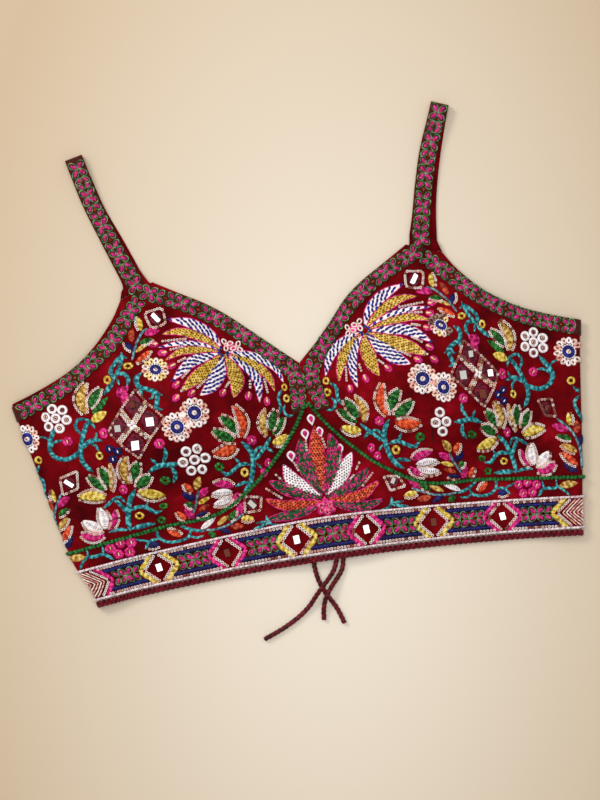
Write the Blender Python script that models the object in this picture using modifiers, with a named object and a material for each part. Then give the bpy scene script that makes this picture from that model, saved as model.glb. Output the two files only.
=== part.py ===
"""Choli blouse, a short fitted bodice with shoulder straps, lying flat on its back.

Every piece that is cut and sewn is its own closed solid: two cups, a pointed yoke below
them, a border band, a braided hem, couched cords, lace at the neck and the armholes, two
straps that fold over at the shoulder, two back panels and three thin ties.

The sizes are in millimetres, and MM turns them to metres as each mesh is made. The cloth
is worked out in a pattern frame that is the same on both sides of the centre front: x runs
out from the centre, y runs up from the notch of the neckline, and z is the height above the
table. laid() then gives the slight lean that the blouse lies with. Left is towards -X.
"""
import math

import bmesh
import bpy
from mathutils import Vector

MM = 0.001
COLLECTION = "choli_blouse"

# Cloth and trimmings
WALL = 1.5                  # velvet with its lining
LACE_WALL = 1.0             # embroidered tape
SEAM_GAP = 0.3              # between pieces that are sewn edge to edge
LAY_GAP = 0.5               # between a panel and what is sewn on top of it
LACE_WIDTH = 15.5           # neck and armhole tape
CENTRE_LACE_WIDTH = 12.5    # the same tape where it turns down the centre front
STRAP_LACE_WIDTH = 13.2
PIPING_DIAMETER = 2.4
SEAM_CORD_DIAMETER = 2.4
BRAID_DIAMETER = 5.0
TIE_DIAMETER = 4.0

# How the blouse lies
LEAN = 2.5                  # how far the top lies to the left and the hem to the right
LEAN_MIDDLE = -60.0         # the height where it lies straight
LEAN_REACH = 60.0
SKEW = 0.012                # how far each mm to the right lies lower
CENTRE_SHIFT = 2.3          # how far the middle lies to the right, above the border
CENTRE_REACH = 50.0
NECK_SHIFT = 2.0            # how much further the right half of the neckline lies
NECK_SHIFT_X = 24.0
NECK_REACH = 30.0
CORNER_TUCK = 8.0           # how far the left hem corner is pushed in
ORIGIN_X = -1.96            # the middle of the laid blouse, in the laid frame
ORIGIN_Y = 11.75

# Body width: half of it at the underarm, and how fast it narrows towards the waist
UNDERARM_HALF = 221.0
UNDERARM_Y = 3.0
SIDE_TAPER = 0.176

# Edges: x out from the centre, y of the edge there
NECKLINE = ((0, 2.4), (13, 14.7), (29, 30.6), (45, 46.0), (61, 58.0), (77, 67.5), (98, 80.0))
ARMHOLE = ((125, 70.5), (133, 57.2), (148, 40.0), (164, 27.0), (180, 18.2), (204, 8.8), (223, 2.6))
CUP_SEAM = ((0, -27.0), (10, -43.5), (20, -56.5), (33, -70.0), (46, -82.0), (60, -92.0),
            (75, -100.8), (90, -105.0), (120, -106.8), (160, -111.8), (206, -117.4))
BACK_TOP = ((0, -66.0), (60, -56.0), (105, -38.0), (150, -18.0), (185, -4.0), (223, 1.0))

# Border band: its upper and lower edges bow down towards the sides
BAND_TOP_MID = -118.5
BAND_TOP_DROP = 12.7
BAND_TOP_POWER = 1.6
BAND_BOTTOM_MID = -146.0
BAND_BOTTOM_DROP = 10.0
BAND_BOTTOM_POWER = 1.9
BAND_HALF = 194.0

# Heights above the table
FRONT_Z = WALL + 0.85 + WALL / 2    # middle of the front's wall where it lies on the back
BACK_Z = WALL / 2
FOLD_RADIUS = 3.1                   # the soft fold down each side
SIDE_RISE_REACH = 45.0
SEAM_ANGLE = math.radians(105)      # the side seam, just round the fold
CUP_HEIGHT = 34.0
CUP_CENTRE = (100.0, -27.0)
CUP_REACH_IN = 86.0
CUP_REACH_OUT = 112.0
CUP_REACH_UP = 96.0
CUP_REACH_DOWN = 80.0
CUP_ROUNDNESS = 1.7
TIE_HUMP = 3.9                      # the front's hem rides over the ties by this much
TIE_HUMP_MIDDLE = -1.5
TIE_HUMP_FLAT = 20.0
TIE_HUMP_FALL = 34.0
TIE_HUMP_START_Y = -100.0
TIE_HUMP_FULL_Y = -138.0

# Columns across a cup, as x at the underarm line, and rows up it
FLAT_COLUMNS = (0.15, 6, CENTRE_LACE_WIDTH, 22, 33, 44, 55, 66, 77, 88, 98, 111.5, 125, 136,
                147, 158, 169, 180, 191, 202, 211)
FOLD_COLUMNS = 3
CENTRE_COLUMN = FLAT_COLUMNS.index(CENTRE_LACE_WIDTH)
STRAP_COLUMN = FLAT_COLUMNS.index(111.5)
LAST_COLUMN = len(FLAT_COLUMNS) + FOLD_COLUMNS
CUP_ROWS = 11
LACE_ROWS = 3
YOKE_ROWS = 5
BAND_ROWS = 2

# Straps. Front run: y, x on the left, x on the right, half width
STRAP_FRONT = (
    (75.8, -111.5, 111.5, 13.6),
    (80.0, -112.0, 111.0, 10.2),
    (85.0, -113.4, 110.8, 8.8),
    (92.0, -116.2, 112.2, 8.0),
    (100.0, -119.4, 114.1, 7.5),
    (125.0, -128.0, 120.2, 7.1),
    (149.0, -135.4, 127.6, 7.1),
    (172.0, -140.6, 137.0, 7.0),
    (181.0, -142.6, 140.6, 6.9),
)
# Back run: y, x on the left, x on the right
STRAP_BACK = (
    (181.0, -142.6, 140.6),
    (165.0, -138.9, 135.2),
    (140.0, -132.2, 127.4),
    (110.0, -120.8, 120.0),
    (80.0, -111.0, 115.8),
    (40.0, -106.0, 112.0),
    (0.0, -104.5, 107.5),
    (-38.0, -106.0, 105.0),
)
STRAP_HALF = 6.9
STRAP_FOLD_RADIUS = 2.5
STRAP_RISE = 30.0           # the front run lifts towards its fold over this length
STRAP_STEPS_FRONT = 13
STRAP_STEPS_FOLD = 5
STRAP_STEPS_BACK = 12

# Back panels
BACK_OPENING_HALF = 3.0
BACK_COLUMNS = 12
BACK_FOLD_COLUMNS = 3
BACK_ROWS = 5

# Ties: x, y, z of the middle of each cord, in the laid frame
TIE_Z = TIE_DIAMETER / 2 + 0.05
TIES = {
    "tie_left": (
        (-13.0, -146.9, TIE_Z), (-12.9, -153.0, TIE_Z), (-12.4, -160.0, TIE_Z),
        (-11.0, -167.0, TIE_Z), (-8.5, -174.0, TIE_Z), (-5.0, -180.5, TIE_Z),
        (-1.6, -187.0, TIE_Z), (1.0, -194.0, TIE_Z), (3.0, -201.0, TIE_Z),
    ),
    "tie_right_long": (
        (5.2, -147.1, TIE_Z), (4.6, -152.0, TIE_Z), (1.5, -159.0, 2.6),
        (-4.0, -165.5, 4.9), (-9.8, -171.0, 6.6), (-15.5, -177.0, 4.9),
        (-22.0, -184.0, 2.6), (-30.0, -190.0, TIE_Z), (-40.0, -195.5, TIE_Z),
        (-50.0, -199.8, TIE_Z), (-60.0, -203.4, TIE_Z),
    ),
    "tie_right_short": (
        (10.2, -147.2, TIE_Z), (9.9, -152.0, TIE_Z), (8.0, -159.0, TIE_Z),
        (3.5, -165.2, 2.6), (-1.6, -170.6, 4.8), (-6.2, -176.4, 6.6),
        (-9.4, -182.5, 4.8), (-11.3, -189.0, 2.6), (-12.2, -196.0, TIE_Z),
    ),
}
TIE_STEPS = 3               # tube sections from one of these points to the next

# Finishes: linear red, green, blue; roughness
FINISHES = {
    "maroon_velvet": ((0.15, 0.004, 0.010), 0.85),
    "flower_lace": ((0.25, 0.02, 0.10), 0.75),
    "border_embroidery": ((0.22, 0.03, 0.07), 0.7),
    "maroon_braid": ((0.13, 0.005, 0.012), 0.8),
    "white_cord": ((0.80, 0.72, 0.74), 0.6),
    "green_cord": ((0.02, 0.14, 0.04), 0.65),
    "tie_cord": ((0.08, 0.004, 0.008), 0.8),
}


def clear_scene():
    for old in list(bpy.data.objects):
        bpy.data.objects.remove(old, do_unlink=True)


def smooth_step(t):
    t = min(1.0, max(0.0, t))
    return t * t * (3.0 - 2.0 * t)


def curve_through(rows, x, column=1):
    """A smooth curve through the rows of a table, read at x; its first column ascends."""
    last = len(rows) - 1
    i = 0
    while i < last - 1 and x > rows[i + 1][0]:
        i += 1
    x0, x1 = rows[i][0], rows[i + 1][0]
    y0, y1 = rows[i][column], rows[i + 1][column]
    before, after = rows[max(i - 1, 0)], rows[min(i + 2, last)]
    slope0 = (y1 - before[column]) / (x1 - before[0])
    slope1 = (after[column] - y0) / (after[0] - x0)
    t = (x - x0) / (x1 - x0)
    span = x1 - x0
    return ((1 + 2 * t) * (1 - t) ** 2 * y0 + t * (1 - t) ** 2 * span * slope0
            + t * t * (3 - 2 * t) * y1 + t * t * (t - 1) * span * slope1)


def slope_of(edge, x):
    return (edge(x + 0.5) - edge(x - 0.5))


# Edges of the pattern, each a height y at a distance x from the centre

def half_width(y):
    return UNDERARM_HALF - SIDE_TAPER * max(0.0, UNDERARM_Y - y)


def top_edge(x):
    """Neckline, then the strap's base, then the armhole."""
    corner_in, corner_out = NECKLINE[-1], ARMHOLE[0]
    if x <= corner_in[0]:
        return curve_through(NECKLINE, x)
    if x >= corner_out[0]:
        return curve_through(ARMHOLE, x)
    t = (x - corner_in[0]) / (corner_out[0] - corner_in[0])
    return corner_in[1] + t * (corner_out[1] - corner_in[1])


def lace_depth(x):
    """How far below the top edge the tape's inner edge runs, measured straight down."""
    corner_in, corner_out = NECKLINE[-1][0], ARMHOLE[0][0]
    if x <= corner_in:
        slope = slope_of(lambda at: curve_through(NECKLINE, at), max(x, 0.5))
    elif x >= corner_out:
        slope = slope_of(lambda at: curve_through(ARMHOLE, at), x)
    else:
        t = (x - corner_in) / (corner_out - corner_in)
        slope = 0.6 + t * 1.0
    return LACE_WIDTH * math.hypot(1.0, slope)


def cup_seam(x):
    return curve_through(CUP_SEAM, x)


def band_top(x):
    return BAND_TOP_MID - BAND_TOP_DROP * (abs(x) / BAND_HALF) ** BAND_TOP_POWER


def band_bottom(x):
    return BAND_BOTTOM_MID - BAND_BOTTOM_DROP * (abs(x) / BAND_HALF) ** BAND_BOTTOM_POWER


# The front's surface

def cup_rise(x, y):
    across = abs(x) - CUP_CENTRE[0]
    up = y - CUP_CENTRE[1]
    across /= CUP_REACH_OUT if across > 0 else CUP_REACH_IN
    up /= CUP_REACH_UP if up > 0 else CUP_REACH_DOWN
    left = 1.0 - across * across - up * up
    return CUP_HEIGHT * max(0.0, left) ** CUP_ROUNDNESS


def tie_hump(x, y):
    away = (abs(x - TIE_HUMP_MIDDLE) - TIE_HUMP_FLAT) / TIE_HUMP_FALL
    down = (TIE_HUMP_START_Y - y) / (TIE_HUMP_START_Y - TIE_HUMP_FULL_Y)
    return TIE_HUMP * (1.0 - smooth_step(away)) * smooth_step(down)


def fold_start(y):
    """Where the front begins to turn down round the side."""
    return half_width(y) - FOLD_RADIUS - WALL / 2


def seam_distance(y):
    """From the centre front to the side seam, measured along the cloth."""
    return fold_start(y) + FOLD_RADIUS * SEAM_ANGLE


def front_height(x, y):
    side_z = BACK_Z + 2 * FOLD_RADIUS
    rise = smooth_step((abs(x) - fold_start(y) + SIDE_RISE_REACH) / SIDE_RISE_REACH)
    return FRONT_Z + (side_z - FRONT_Z) * rise + cup_rise(x, y) + tie_hump(x, y)


def front_point(side, along, y, out=0.0):
    """A point of the front, along the cloth from the centre, and out from its middle."""
    turn = (along - fold_start(y)) / FOLD_RADIUS
    if turn <= 0.0:
        x = side * along
        step = 0.5
        slope_x = (front_height(x + step, y) - front_height(x - step, y)) / (2 * step)
        slope_y = (front_height(x, y + step) - front_height(x, y - step)) / (2 * step)
        normal = Vector((-slope_x, -slope_y, 1.0)).normalized()
        return Vector((x, y, front_height(x, y))) + normal * out
    reach = fold_start(y) + (FOLD_RADIUS + out) * math.sin(turn)
    height = BACK_Z + FOLD_RADIUS + (FOLD_RADIUS + out) * math.cos(turn)
    return Vector((side * reach, y, height))


def laid(point):
    """From the pattern frame to the blouse as it lies, still in millimetres."""
    lean = LEAN * math.tanh((point.y - LEAN_MIDDLE) / LEAN_REACH)
    shift = (CENTRE_SHIFT * (1.0 - smooth_step(abs(point.x) / CENTRE_REACH))
             * smooth_step((point.y + 146.0) / 30.0)
             + NECK_SHIFT * (1.0 - smooth_step(abs(point.x - NECK_SHIFT_X) / NECK_REACH))
             * smooth_step((point.y + 30.0) / 30.0))
    tuck = (CORNER_TUCK * smooth_step((-point.x - 148.0) / 40.0)
            * smooth_step((-point.y - 118.0) / 38.0))
    x = point.x - lean + shift + tuck
    return Vector((x - ORIGIN_X, point.y - SKEW * point.x - ORIGIN_Y, point.z))


# Making the objects

def finish_of(name):
    """The Principled material of a finish, made the first time it is asked for."""
    material = bpy.data.materials.get(name)
    if material is None:
        colour, roughness = FINISHES[name]
        material = bpy.data.materials.new(name)
        material.use_nodes = True
        shader = material.node_tree.nodes["Principled BSDF"]
        shader.inputs["Base Color"].default_value = (*colour, 1.0)
        shader.inputs["Roughness"].default_value = roughness
        shader.inputs["Metallic"].default_value = 0.0
    return material


def add_to_blouse(name, data, finish):
    piece = bpy.data.objects.new(name, data)
    data.materials.append(finish_of(finish))
    bpy.data.collections[COLLECTION].objects.link(piece)
    return piece


def add_sheet(name, columns, rows, place, wall, finish, keep=None):
    """A grid whose corners are put in place one by one, given a wall on both its sides."""
    bm = bmesh.new()
    bmesh.ops.create_grid(bm, x_segments=columns, y_segments=rows, size=1.0)
    if keep is not None:
        spare = []
        for face in bm.faces:
            middle = face.calc_center_median()
            i = int((middle.x + 1) / 2 * columns)
            j = int((middle.y + 1) / 2 * rows)
            if not keep(i, j):
                spare.append(face)
        bmesh.ops.delete(bm, geom=spare, context="FACES")
    for vert in bm.verts:
        i = round((vert.co.x + 1) / 2 * columns)
        j = round((vert.co.y + 1) / 2 * rows)
        vert.co = laid(place(i, j)) * MM
    mesh = bpy.data.meshes.new(name)
    bm.to_mesh(mesh)
    bm.free()
    mesh.shade_smooth()
    piece = add_to_blouse(name, mesh, finish)
    solidify = piece.modifiers.new("wall", "SOLIDIFY")
    solidify.thickness = wall * MM
    solidify.offset = 0.0
    return piece


def add_cord(name, points, diameter, finish):
    """A round cord through points given in millimetres, in the frame the blouse lies in."""
    curve = bpy.data.curves.new(name, "CURVE")
    curve.dimensions = "3D"
    curve.bevel_depth = diameter / 2 * MM
    curve.bevel_resolution = 2
    curve.use_fill_caps = True
    spline = curve.splines.new("POLY")
    spline.points.add(len(points) - 1)
    for spot, point in zip(spline.points, points):
        spot.co = (*(point * MM), 1.0)
    return add_to_blouse(name, curve, finish)


# Pieces of the front

def column_share(i):
    """How far across the cloth a column runs, from 0 at the centre to 1 at the side seam."""
    full = seam_distance(UNDERARM_Y)
    if i < len(FLAT_COLUMNS):
        return FLAT_COLUMNS[i] / full
    start = fold_start(UNDERARM_Y)
    return (start + (full - start) * (i - len(FLAT_COLUMNS)) / FOLD_COLUMNS) / full


def on_edge(share, edge):
    """Where a column meets an edge: its distance along the cloth, and its height."""
    y = edge(share * seam_distance(0.0))
    for _ in range(8):
        along = share * seam_distance(y)
        y = edge(along)
    return along, y


def half_gap(edge, along):
    """Half a seam gap, measured straight up across a sloping seam."""
    return SEAM_GAP / 2 * math.hypot(1.0, slope_of(edge, max(along, 0.5)))


def cup_spot(side, i, j, out=0.0):
    share = column_share(i)
    top_at, top = on_edge(share, top_edge)
    low_at, low = on_edge(share, cup_seam)
    low += half_gap(cup_seam, low_at)
    lace_line = top - lace_depth(top_at)
    if j <= CUP_ROWS:
        y = low + (lace_line - low) * j / CUP_ROWS
    else:
        y = lace_line + (top - lace_line) * (j - CUP_ROWS) / LACE_ROWS
    along = max(FLAT_COLUMNS[0], share * seam_distance(y))
    return front_point(side, along, y, out)


def add_cup(side, word):
    add_sheet(f"cup_{word}", LAST_COLUMN, CUP_ROWS + LACE_ROWS,
              lambda i, j: cup_spot(side, i, j), WALL, "maroon_velvet")


LACE_OUT = WALL / 2 + LAY_GAP + LACE_WALL / 2


def add_neck_lace(side, word):
    """Tape along the neckline and down the centre front, on the cup's own points."""
    def keep(i, j):
        return i < CENTRE_COLUMN or (j >= CUP_ROWS and i < STRAP_COLUMN)

    add_sheet(f"neck_lace_{word}", LAST_COLUMN, CUP_ROWS + LACE_ROWS,
              lambda i, j: cup_spot(side, i, j, LACE_OUT), LACE_WALL, "flower_lace", keep)


def add_arm_lace(side, word):
    """Tape round the armhole; it stops a seam's gap short of the neckline's tape."""
    def spot(i, j):
        point = cup_spot(side, i, j, LACE_OUT)
        if i == STRAP_COLUMN:
            point.x += side * SEAM_GAP
        return point

    def keep(i, j):
        return i >= STRAP_COLUMN and j >= CUP_ROWS

    add_sheet(f"arm_lace_{word}", LAST_COLUMN, CUP_ROWS + LACE_ROWS,
              spot, LACE_WALL, "flower_lace", keep)


def front_columns():
    """Signed columns from the left side seam to the right one."""
    outward = range(1, LAST_COLUMN + 1)
    return [-i for i in reversed(outward)] + [0] + list(outward)


FRONT_COLUMNS = front_columns()


def strip_spot(i, t, low_edge, high_edge):
    """A point of a strip across the front, a share t of the way up from its low edge."""
    column = FRONT_COLUMNS[i]
    side = -1 if column < 0 else 1
    share = column_share(abs(column)) if column else 0.0
    low_at, low = on_edge(share, low_edge)
    high_at, high = on_edge(share, high_edge)
    low += half_gap(low_edge, low_at)
    high -= half_gap(high_edge, high_at)
    y = low + (high - low) * t
    return front_point(side, share * seam_distance(y), y)


def add_strip(name, rows, low_edge, high_edge, finish):
    add_sheet(name, len(FRONT_COLUMNS) - 1, rows,
              lambda i, j: strip_spot(i, j / rows, low_edge, high_edge), WALL, finish)


def edge_cord_points(columns, edge, out, below=0.0):
    """Points along an edge for a cord that lies out from the cloth, or below the edge."""
    points = []
    for column in columns:
        side = -1 if column < 0 else 1
        share = column_share(abs(column)) if column else 0.0
        along, y = on_edge(share, edge)
        point = front_point(side, along, y, out)
        point.y -= below
        points.append(laid(point))
    return points


def add_front_cords():
    on_top = WALL / 2 + LAY_GAP
    add_cord("piping_upper", edge_cord_points(FRONT_COLUMNS, band_top, on_top + PIPING_DIAMETER / 2),
             PIPING_DIAMETER, "white_cord")

    def piping_line(x):
        return band_bottom(x) + PIPING_DIAMETER / 2

    add_cord("piping_lower", edge_cord_points(FRONT_COLUMNS, piping_line, on_top + PIPING_DIAMETER / 2),
             PIPING_DIAMETER, "white_cord")
    add_cord("hem_braid", edge_cord_points(FRONT_COLUMNS, band_bottom, 0.0, BRAID_DIAMETER / 2 + SEAM_GAP),
             BRAID_DIAMETER, "maroon_braid")
    outward = range(CENTRE_COLUMN + 1, LAST_COLUMN + 1)
    for side, word in ((-1, "left"), (1, "right")):
        points = edge_cord_points([side * i for i in outward], cup_seam, on_top + SEAM_CORD_DIAMETER / 2)
        add_cord(f"seam_cord_{word}", points, SEAM_CORD_DIAMETER, "green_cord")


# Straps

def strap_rows(table, side, ascending=True):
    """The strap's own rows: y, x, and half width where the table gives one."""
    column = 1 if side < 0 else 2
    rows = [(row[0], row[column]) + tuple(row[3:]) for row in table]
    return rows if ascending else list(reversed(rows))


def across_strap(rows, y):
    """The level direction across the strap at a height y."""
    lean = (curve_through(rows, y + 0.5) - curve_through(rows, y - 0.5))
    return Vector((1.0, -lean, 0.0)).normalized()


def strap_station(side, k):
    """Middle, level direction across, and half width at each step round the strap."""
    front = strap_rows(STRAP_FRONT, side)
    back = strap_rows(STRAP_BACK, side, ascending=False)
    start, top = front[0][0], front[-1][0]
    fold_z = BACK_Z + 2 * STRAP_FOLD_RADIUS
    if k <= STRAP_STEPS_FRONT:
        y = start + (top - start) * k / STRAP_STEPS_FRONT
        z = FRONT_Z + (fold_z - FRONT_Z) * smooth_step((y - top + STRAP_RISE) / STRAP_RISE)
        middle = Vector((curve_through(front, y), y, z))
        return middle, across_strap(front, y), curve_through(front, y, 2)
    across = across_strap(front, top)
    if k <= STRAP_STEPS_FRONT + STRAP_STEPS_FOLD:
        turn = math.pi * (k - STRAP_STEPS_FRONT) / STRAP_STEPS_FOLD
        forward = Vector((-across.y, across.x, 0.0))
        middle = Vector((front[-1][1], top, BACK_Z + STRAP_FOLD_RADIUS))
        middle += forward * STRAP_FOLD_RADIUS * math.sin(turn)
        middle.z += STRAP_FOLD_RADIUS * math.cos(turn)
        return middle, across, STRAP_HALF
    t = (k - STRAP_STEPS_FRONT - STRAP_STEPS_FOLD) / STRAP_STEPS_BACK
    end = curve_through(BACK_TOP, abs(back[0][1])) + 2 * SEAM_GAP
    y = top + (end - top) * t
    turned = across_strap(back, y)
    return Vector((curve_through(back, y), y, BACK_Z)), across.lerp(turned, min(1.0, 3 * t)), STRAP_HALF


def strap_spot(side, k, share):
    middle, across, half = strap_station(side, k)
    if k == 0:
        x = abs(middle.x) + half * share * side
        return Vector((side * x, top_edge(x) + SEAM_GAP, middle.z))
    if k == STRAP_STEPS_FRONT + STRAP_STEPS_FOLD + STRAP_STEPS_BACK:
        x = middle.x + half * share
        return Vector((x, curve_through(BACK_TOP, abs(x)) + SEAM_GAP * 1.5, middle.z))
    return middle + across * half * share


def add_strap(side, word):
    steps = STRAP_STEPS_FRONT + STRAP_STEPS_FOLD + STRAP_STEPS_BACK
    add_sheet(f"strap_{word}", 2, steps,
              lambda i, k: strap_spot(side, k, i - 1.0), WALL, "maroon_velvet")


def add_strap_lace(side, word):
    """Tape on the front run of a strap, from above its base to the top of its fold."""
    first = 1
    last = STRAP_STEPS_FRONT + 1
    centre_z = BACK_Z + STRAP_FOLD_RADIUS

    def spot(i, k):
        middle, across, _ = strap_station(side, first + k)
        out = Vector((0.0, 0.0, 1.0))
        if first + k > STRAP_STEPS_FRONT:
            turn = math.pi / STRAP_STEPS_FOLD
            forward = Vector((-across.y, across.x, 0.0))
            out = forward * math.sin(turn) + Vector((0.0, 0.0, math.cos(turn)))
        assert middle.z > centre_z or first + k <= STRAP_STEPS_FRONT
        return middle + out * LACE_OUT + across * STRAP_LACE_WIDTH / 2 * (i * 2 - 1.0)

    add_sheet(f"strap_lace_{word}", 1, last - first, spot, LACE_WALL, "flower_lace")


# Back

def back_reach(j_y, i):
    """Place along a row of the back: round the fold from the side seam, then flat inwards."""
    start = SEAM_ANGLE + 2 * SEAM_GAP / FOLD_RADIUS
    if i <= BACK_FOLD_COLUMNS:
        turn = start + (math.pi - start) * i / BACK_FOLD_COLUMNS
        x = fold_start(j_y) + FOLD_RADIUS * math.sin(turn)
        return x, BACK_Z + FOLD_RADIUS + FOLD_RADIUS * math.cos(turn)
    t = (i - BACK_FOLD_COLUMNS) / BACK_COLUMNS
    return fold_start(j_y) + (BACK_OPENING_HALF - fold_start(j_y)) * t, BACK_Z


def back_spot(side, i, j):
    y = 0.0
    for _ in range(8):
        x, z = back_reach(y, i)
        y = band_bottom(x) + (curve_through(BACK_TOP, x) - band_bottom(x)) * j / BACK_ROWS
    return Vector((side * x, y, z))


def add_back(side, word):
    add_sheet(f"back_{word}", BACK_COLUMNS + BACK_FOLD_COLUMNS, BACK_ROWS,
              lambda i, j: back_spot(side, i, j), WALL, "maroon_velvet")


# Ties

def smooth_route(route):
    """Points of a smooth curve through a tie's own points, never sunk into the table."""
    spots = [Vector(spot) for spot in route]
    points = []
    for i in range(len(spots) - 1):
        before, start = spots[max(i - 1, 0)], spots[i]
        end, after = spots[i + 1], spots[min(i + 2, len(spots) - 1)]
        for k in range(TIE_STEPS):
            t = k / TIE_STEPS
            point = 0.5 * (2 * start + (end - before) * t
                           + (2 * before - 5 * start + 4 * end - after) * t * t
                           + (3 * start - before - 3 * end + after) * t ** 3)
            point.z = max(point.z, TIE_Z)
            points.append(point)
    points.append(spots[-1])
    return points


def add_ties():
    shift = Vector((ORIGIN_X, ORIGIN_Y, 0.0))
    for name, route in TIES.items():
        points = [point - shift for point in smooth_route(route)]
        add_cord(name, points, TIE_DIAMETER, "tie_cord")


def main():
    clear_scene()
    blouse = bpy.data.collections.new(COLLECTION)
    bpy.context.scene.collection.children.link(blouse)
    for side, word in ((-1, "left"), (1, "right")):
        add_cup(side, word)
        add_neck_lace(side, word)
        add_arm_lace(side, word)
        add_strap(side, word)
        add_strap_lace(side, word)
        add_back(side, word)
    add_strip("yoke", YOKE_ROWS, band_top, cup_seam, "maroon_velvet")
    add_strip("border_band", BAND_ROWS, band_bottom, band_top, "border_embroidery")
    add_front_cords()
    add_ties()


main()
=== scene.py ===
# %% [markdown]
# # A choli blouse, lying flat
# A choli is a short fitted blouse. This one is cut from dark red velvet: two cups with a bust
# dart, a pointed yoke, a border band and two straps. Lace covers its edges, and thread,
# sequins and small mirrors cover nearly all the rest.
#
# The lesson has one main idea. An embroiderer works on cloth that is flat, and the cloth is
# shaped afterwards. So every motif here is made flat, in millimetres, on the blouse's own
# pattern. Then one function lays each of its points on the curved cloth.
#
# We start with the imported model. It fixes where everything is, and the looks are built on it.

# %% Load the frame
import math
from math import pi, tau

import bmesh
import bpy
import numpy as np
from mathutils import Matrix, Vector


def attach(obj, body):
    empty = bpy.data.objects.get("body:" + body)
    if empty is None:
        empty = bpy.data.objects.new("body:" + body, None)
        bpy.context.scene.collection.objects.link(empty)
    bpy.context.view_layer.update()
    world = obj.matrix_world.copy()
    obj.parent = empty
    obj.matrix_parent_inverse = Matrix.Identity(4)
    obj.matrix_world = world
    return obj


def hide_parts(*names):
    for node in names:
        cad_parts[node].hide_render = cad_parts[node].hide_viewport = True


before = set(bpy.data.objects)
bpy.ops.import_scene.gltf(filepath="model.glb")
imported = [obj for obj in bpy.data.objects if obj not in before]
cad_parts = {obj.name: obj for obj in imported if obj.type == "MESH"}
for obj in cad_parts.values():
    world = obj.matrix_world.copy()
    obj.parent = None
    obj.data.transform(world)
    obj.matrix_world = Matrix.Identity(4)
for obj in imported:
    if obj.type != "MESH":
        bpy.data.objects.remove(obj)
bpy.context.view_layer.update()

MM = 0.001

# %% [markdown]
# ## Camera
# A garment on a table is looked at from straight above. A long lens far away keeps its edges
# true, and rolling the camera turns the blouse by a few degrees.

# %% Camera
VIEW_HEIGHT = 3.0  # metres from the table to the lens
VIEW_TALL = 0.616  # the stretch of table that the tall side of the picture takes in
VIEW_CENTRE = (-1.47, -37.72)
VIEW_ROLL = 9.2

camera_data = bpy.data.cameras.new("camera")
camera = bpy.data.objects.new("camera", camera_data)
bpy.context.scene.collection.objects.link(camera)
bpy.context.scene.camera = camera
camera.location = (VIEW_CENTRE[0] * MM, VIEW_CENTRE[1] * MM, VIEW_HEIGHT)
camera.rotation_euler = (0.0, 0.0, -math.radians(VIEW_ROLL))
camera_data.lens = camera_data.sensor_width / 2 / (VIEW_TALL / 2 / VIEW_HEIGHT)
camera_data.clip_end = 20.0
print("lens, mm:", round(camera_data.lens, 1))

# %% [markdown]
# ## Two helpers for materials
# Colours are written as hex codes, and one function turns them into the linear values that
# shaders work with. Another adds a node and wires it up.

# %% Colour and node helpers
def linear(code):
    """An sRGB hex colour as the linear values of a colour socket."""
    shares = [int(code[i:i + 2], 16) / 255 for i in (1, 3, 5)]
    return (*(s / 12.92 if s <= 0.04045 else ((s + 0.055) / 1.055) ** 2.4 for s in shares), 1.0)


def add_node(material, kind, settings=(), links=()):
    """Adds a node. Settings name its properties or its sockets, and links what feeds them."""
    tree = material.node_tree
    node = tree.nodes.new(kind)
    for name, value in dict(settings).items():
        if isinstance(name, str) and hasattr(node, name):
            setattr(node, name, value)
        else:
            node.inputs[name].default_value = value
    for name, source in dict(links).items():
        tree.links.new(source, node.inputs[name])
    return node


def new_material(name, settings):
    """A Principled material with plain numbers on its sockets, and its shader."""
    material = bpy.data.materials.new(name)
    material.use_nodes = True
    shader = material.node_tree.nodes["Principled BSDF"]
    for socket, value in settings.items():
        shader.inputs[socket].default_value = value
    return material, shader


def feed(material, shader, socket, source):
    material.node_tree.links.new(source, shader.inputs[socket])


def colour_ramp(material, factor, stops):
    """A ramp between hex colours; each stop is a position and a colour."""
    ramp = add_node(material, "ShaderNodeValToRGB", links={"Fac": factor})
    elements = ramp.color_ramp.elements
    while len(elements) < len(stops):
        elements.new(0.5)
    for element, (position, code) in zip(elements, stops):
        element.position = position
        element.color = linear(code)
    return ramp.outputs["Color"]

# %% [markdown]
# ## The table and the light
# The table is pale, with painted shade that darkens it away from the middle. A wide lamp above
# gives soft light, one from the upper left gives thread and sequins their small shadows, and the
# sky fills in the rest.

# %% Table
FLOOR_SIZE = 30.0
FLOOR_DROP = 0.0003  # metres below the cloth that rests on it
FLOOR_MIDDLE = (0.014, -0.108, 0.0)
FLOOR_STRETCH = 1.92  # how much longer than wide its pale middle is

bm = bmesh.new()
bmesh.ops.create_grid(bm, x_segments=2, y_segments=2, size=FLOOR_SIZE / 2)
floor_mesh = bpy.data.meshes.new("table_top")
bm.to_mesh(floor_mesh)
bm.free()
table_top = bpy.data.objects.new("table_top", floor_mesh)
bpy.context.scene.collection.objects.link(table_top)
table_top.location.z = -FLOOR_DROP

# Painted board: matt, warm and pale. It grows deeper away from the middle, which is painted shade for the
# lamps' light falling off towards the edges.
board, board_shader = new_material("painted_board", {"Roughness": 0.9, "Specular IOR Level": 0.2})
board_place = add_node(board, "ShaderNodeTexCoord").outputs["Object"]
falloff_oval = add_node(board, "ShaderNodeMapping", {
    "vector_type": "TEXTURE", "Location": FLOOR_MIDDLE, "Scale": (1.0, FLOOR_STRETCH, 1.0),
    "Rotation": (0.0, 0.0, -math.radians(VIEW_ROLL))}, {"Vector": board_place}).outputs["Vector"]
falloff_reach = add_node(board, "ShaderNodeVectorMath", {"operation": "LENGTH"}, {0: falloff_oval})
feed(board, board_shader, "Base Color", colour_ramp(
    board, falloff_reach.outputs["Value"], ((0.0, "#F7F0E3"), (0.298, "#CEBA9E"))))
floor_mesh.materials.append(board)

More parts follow.
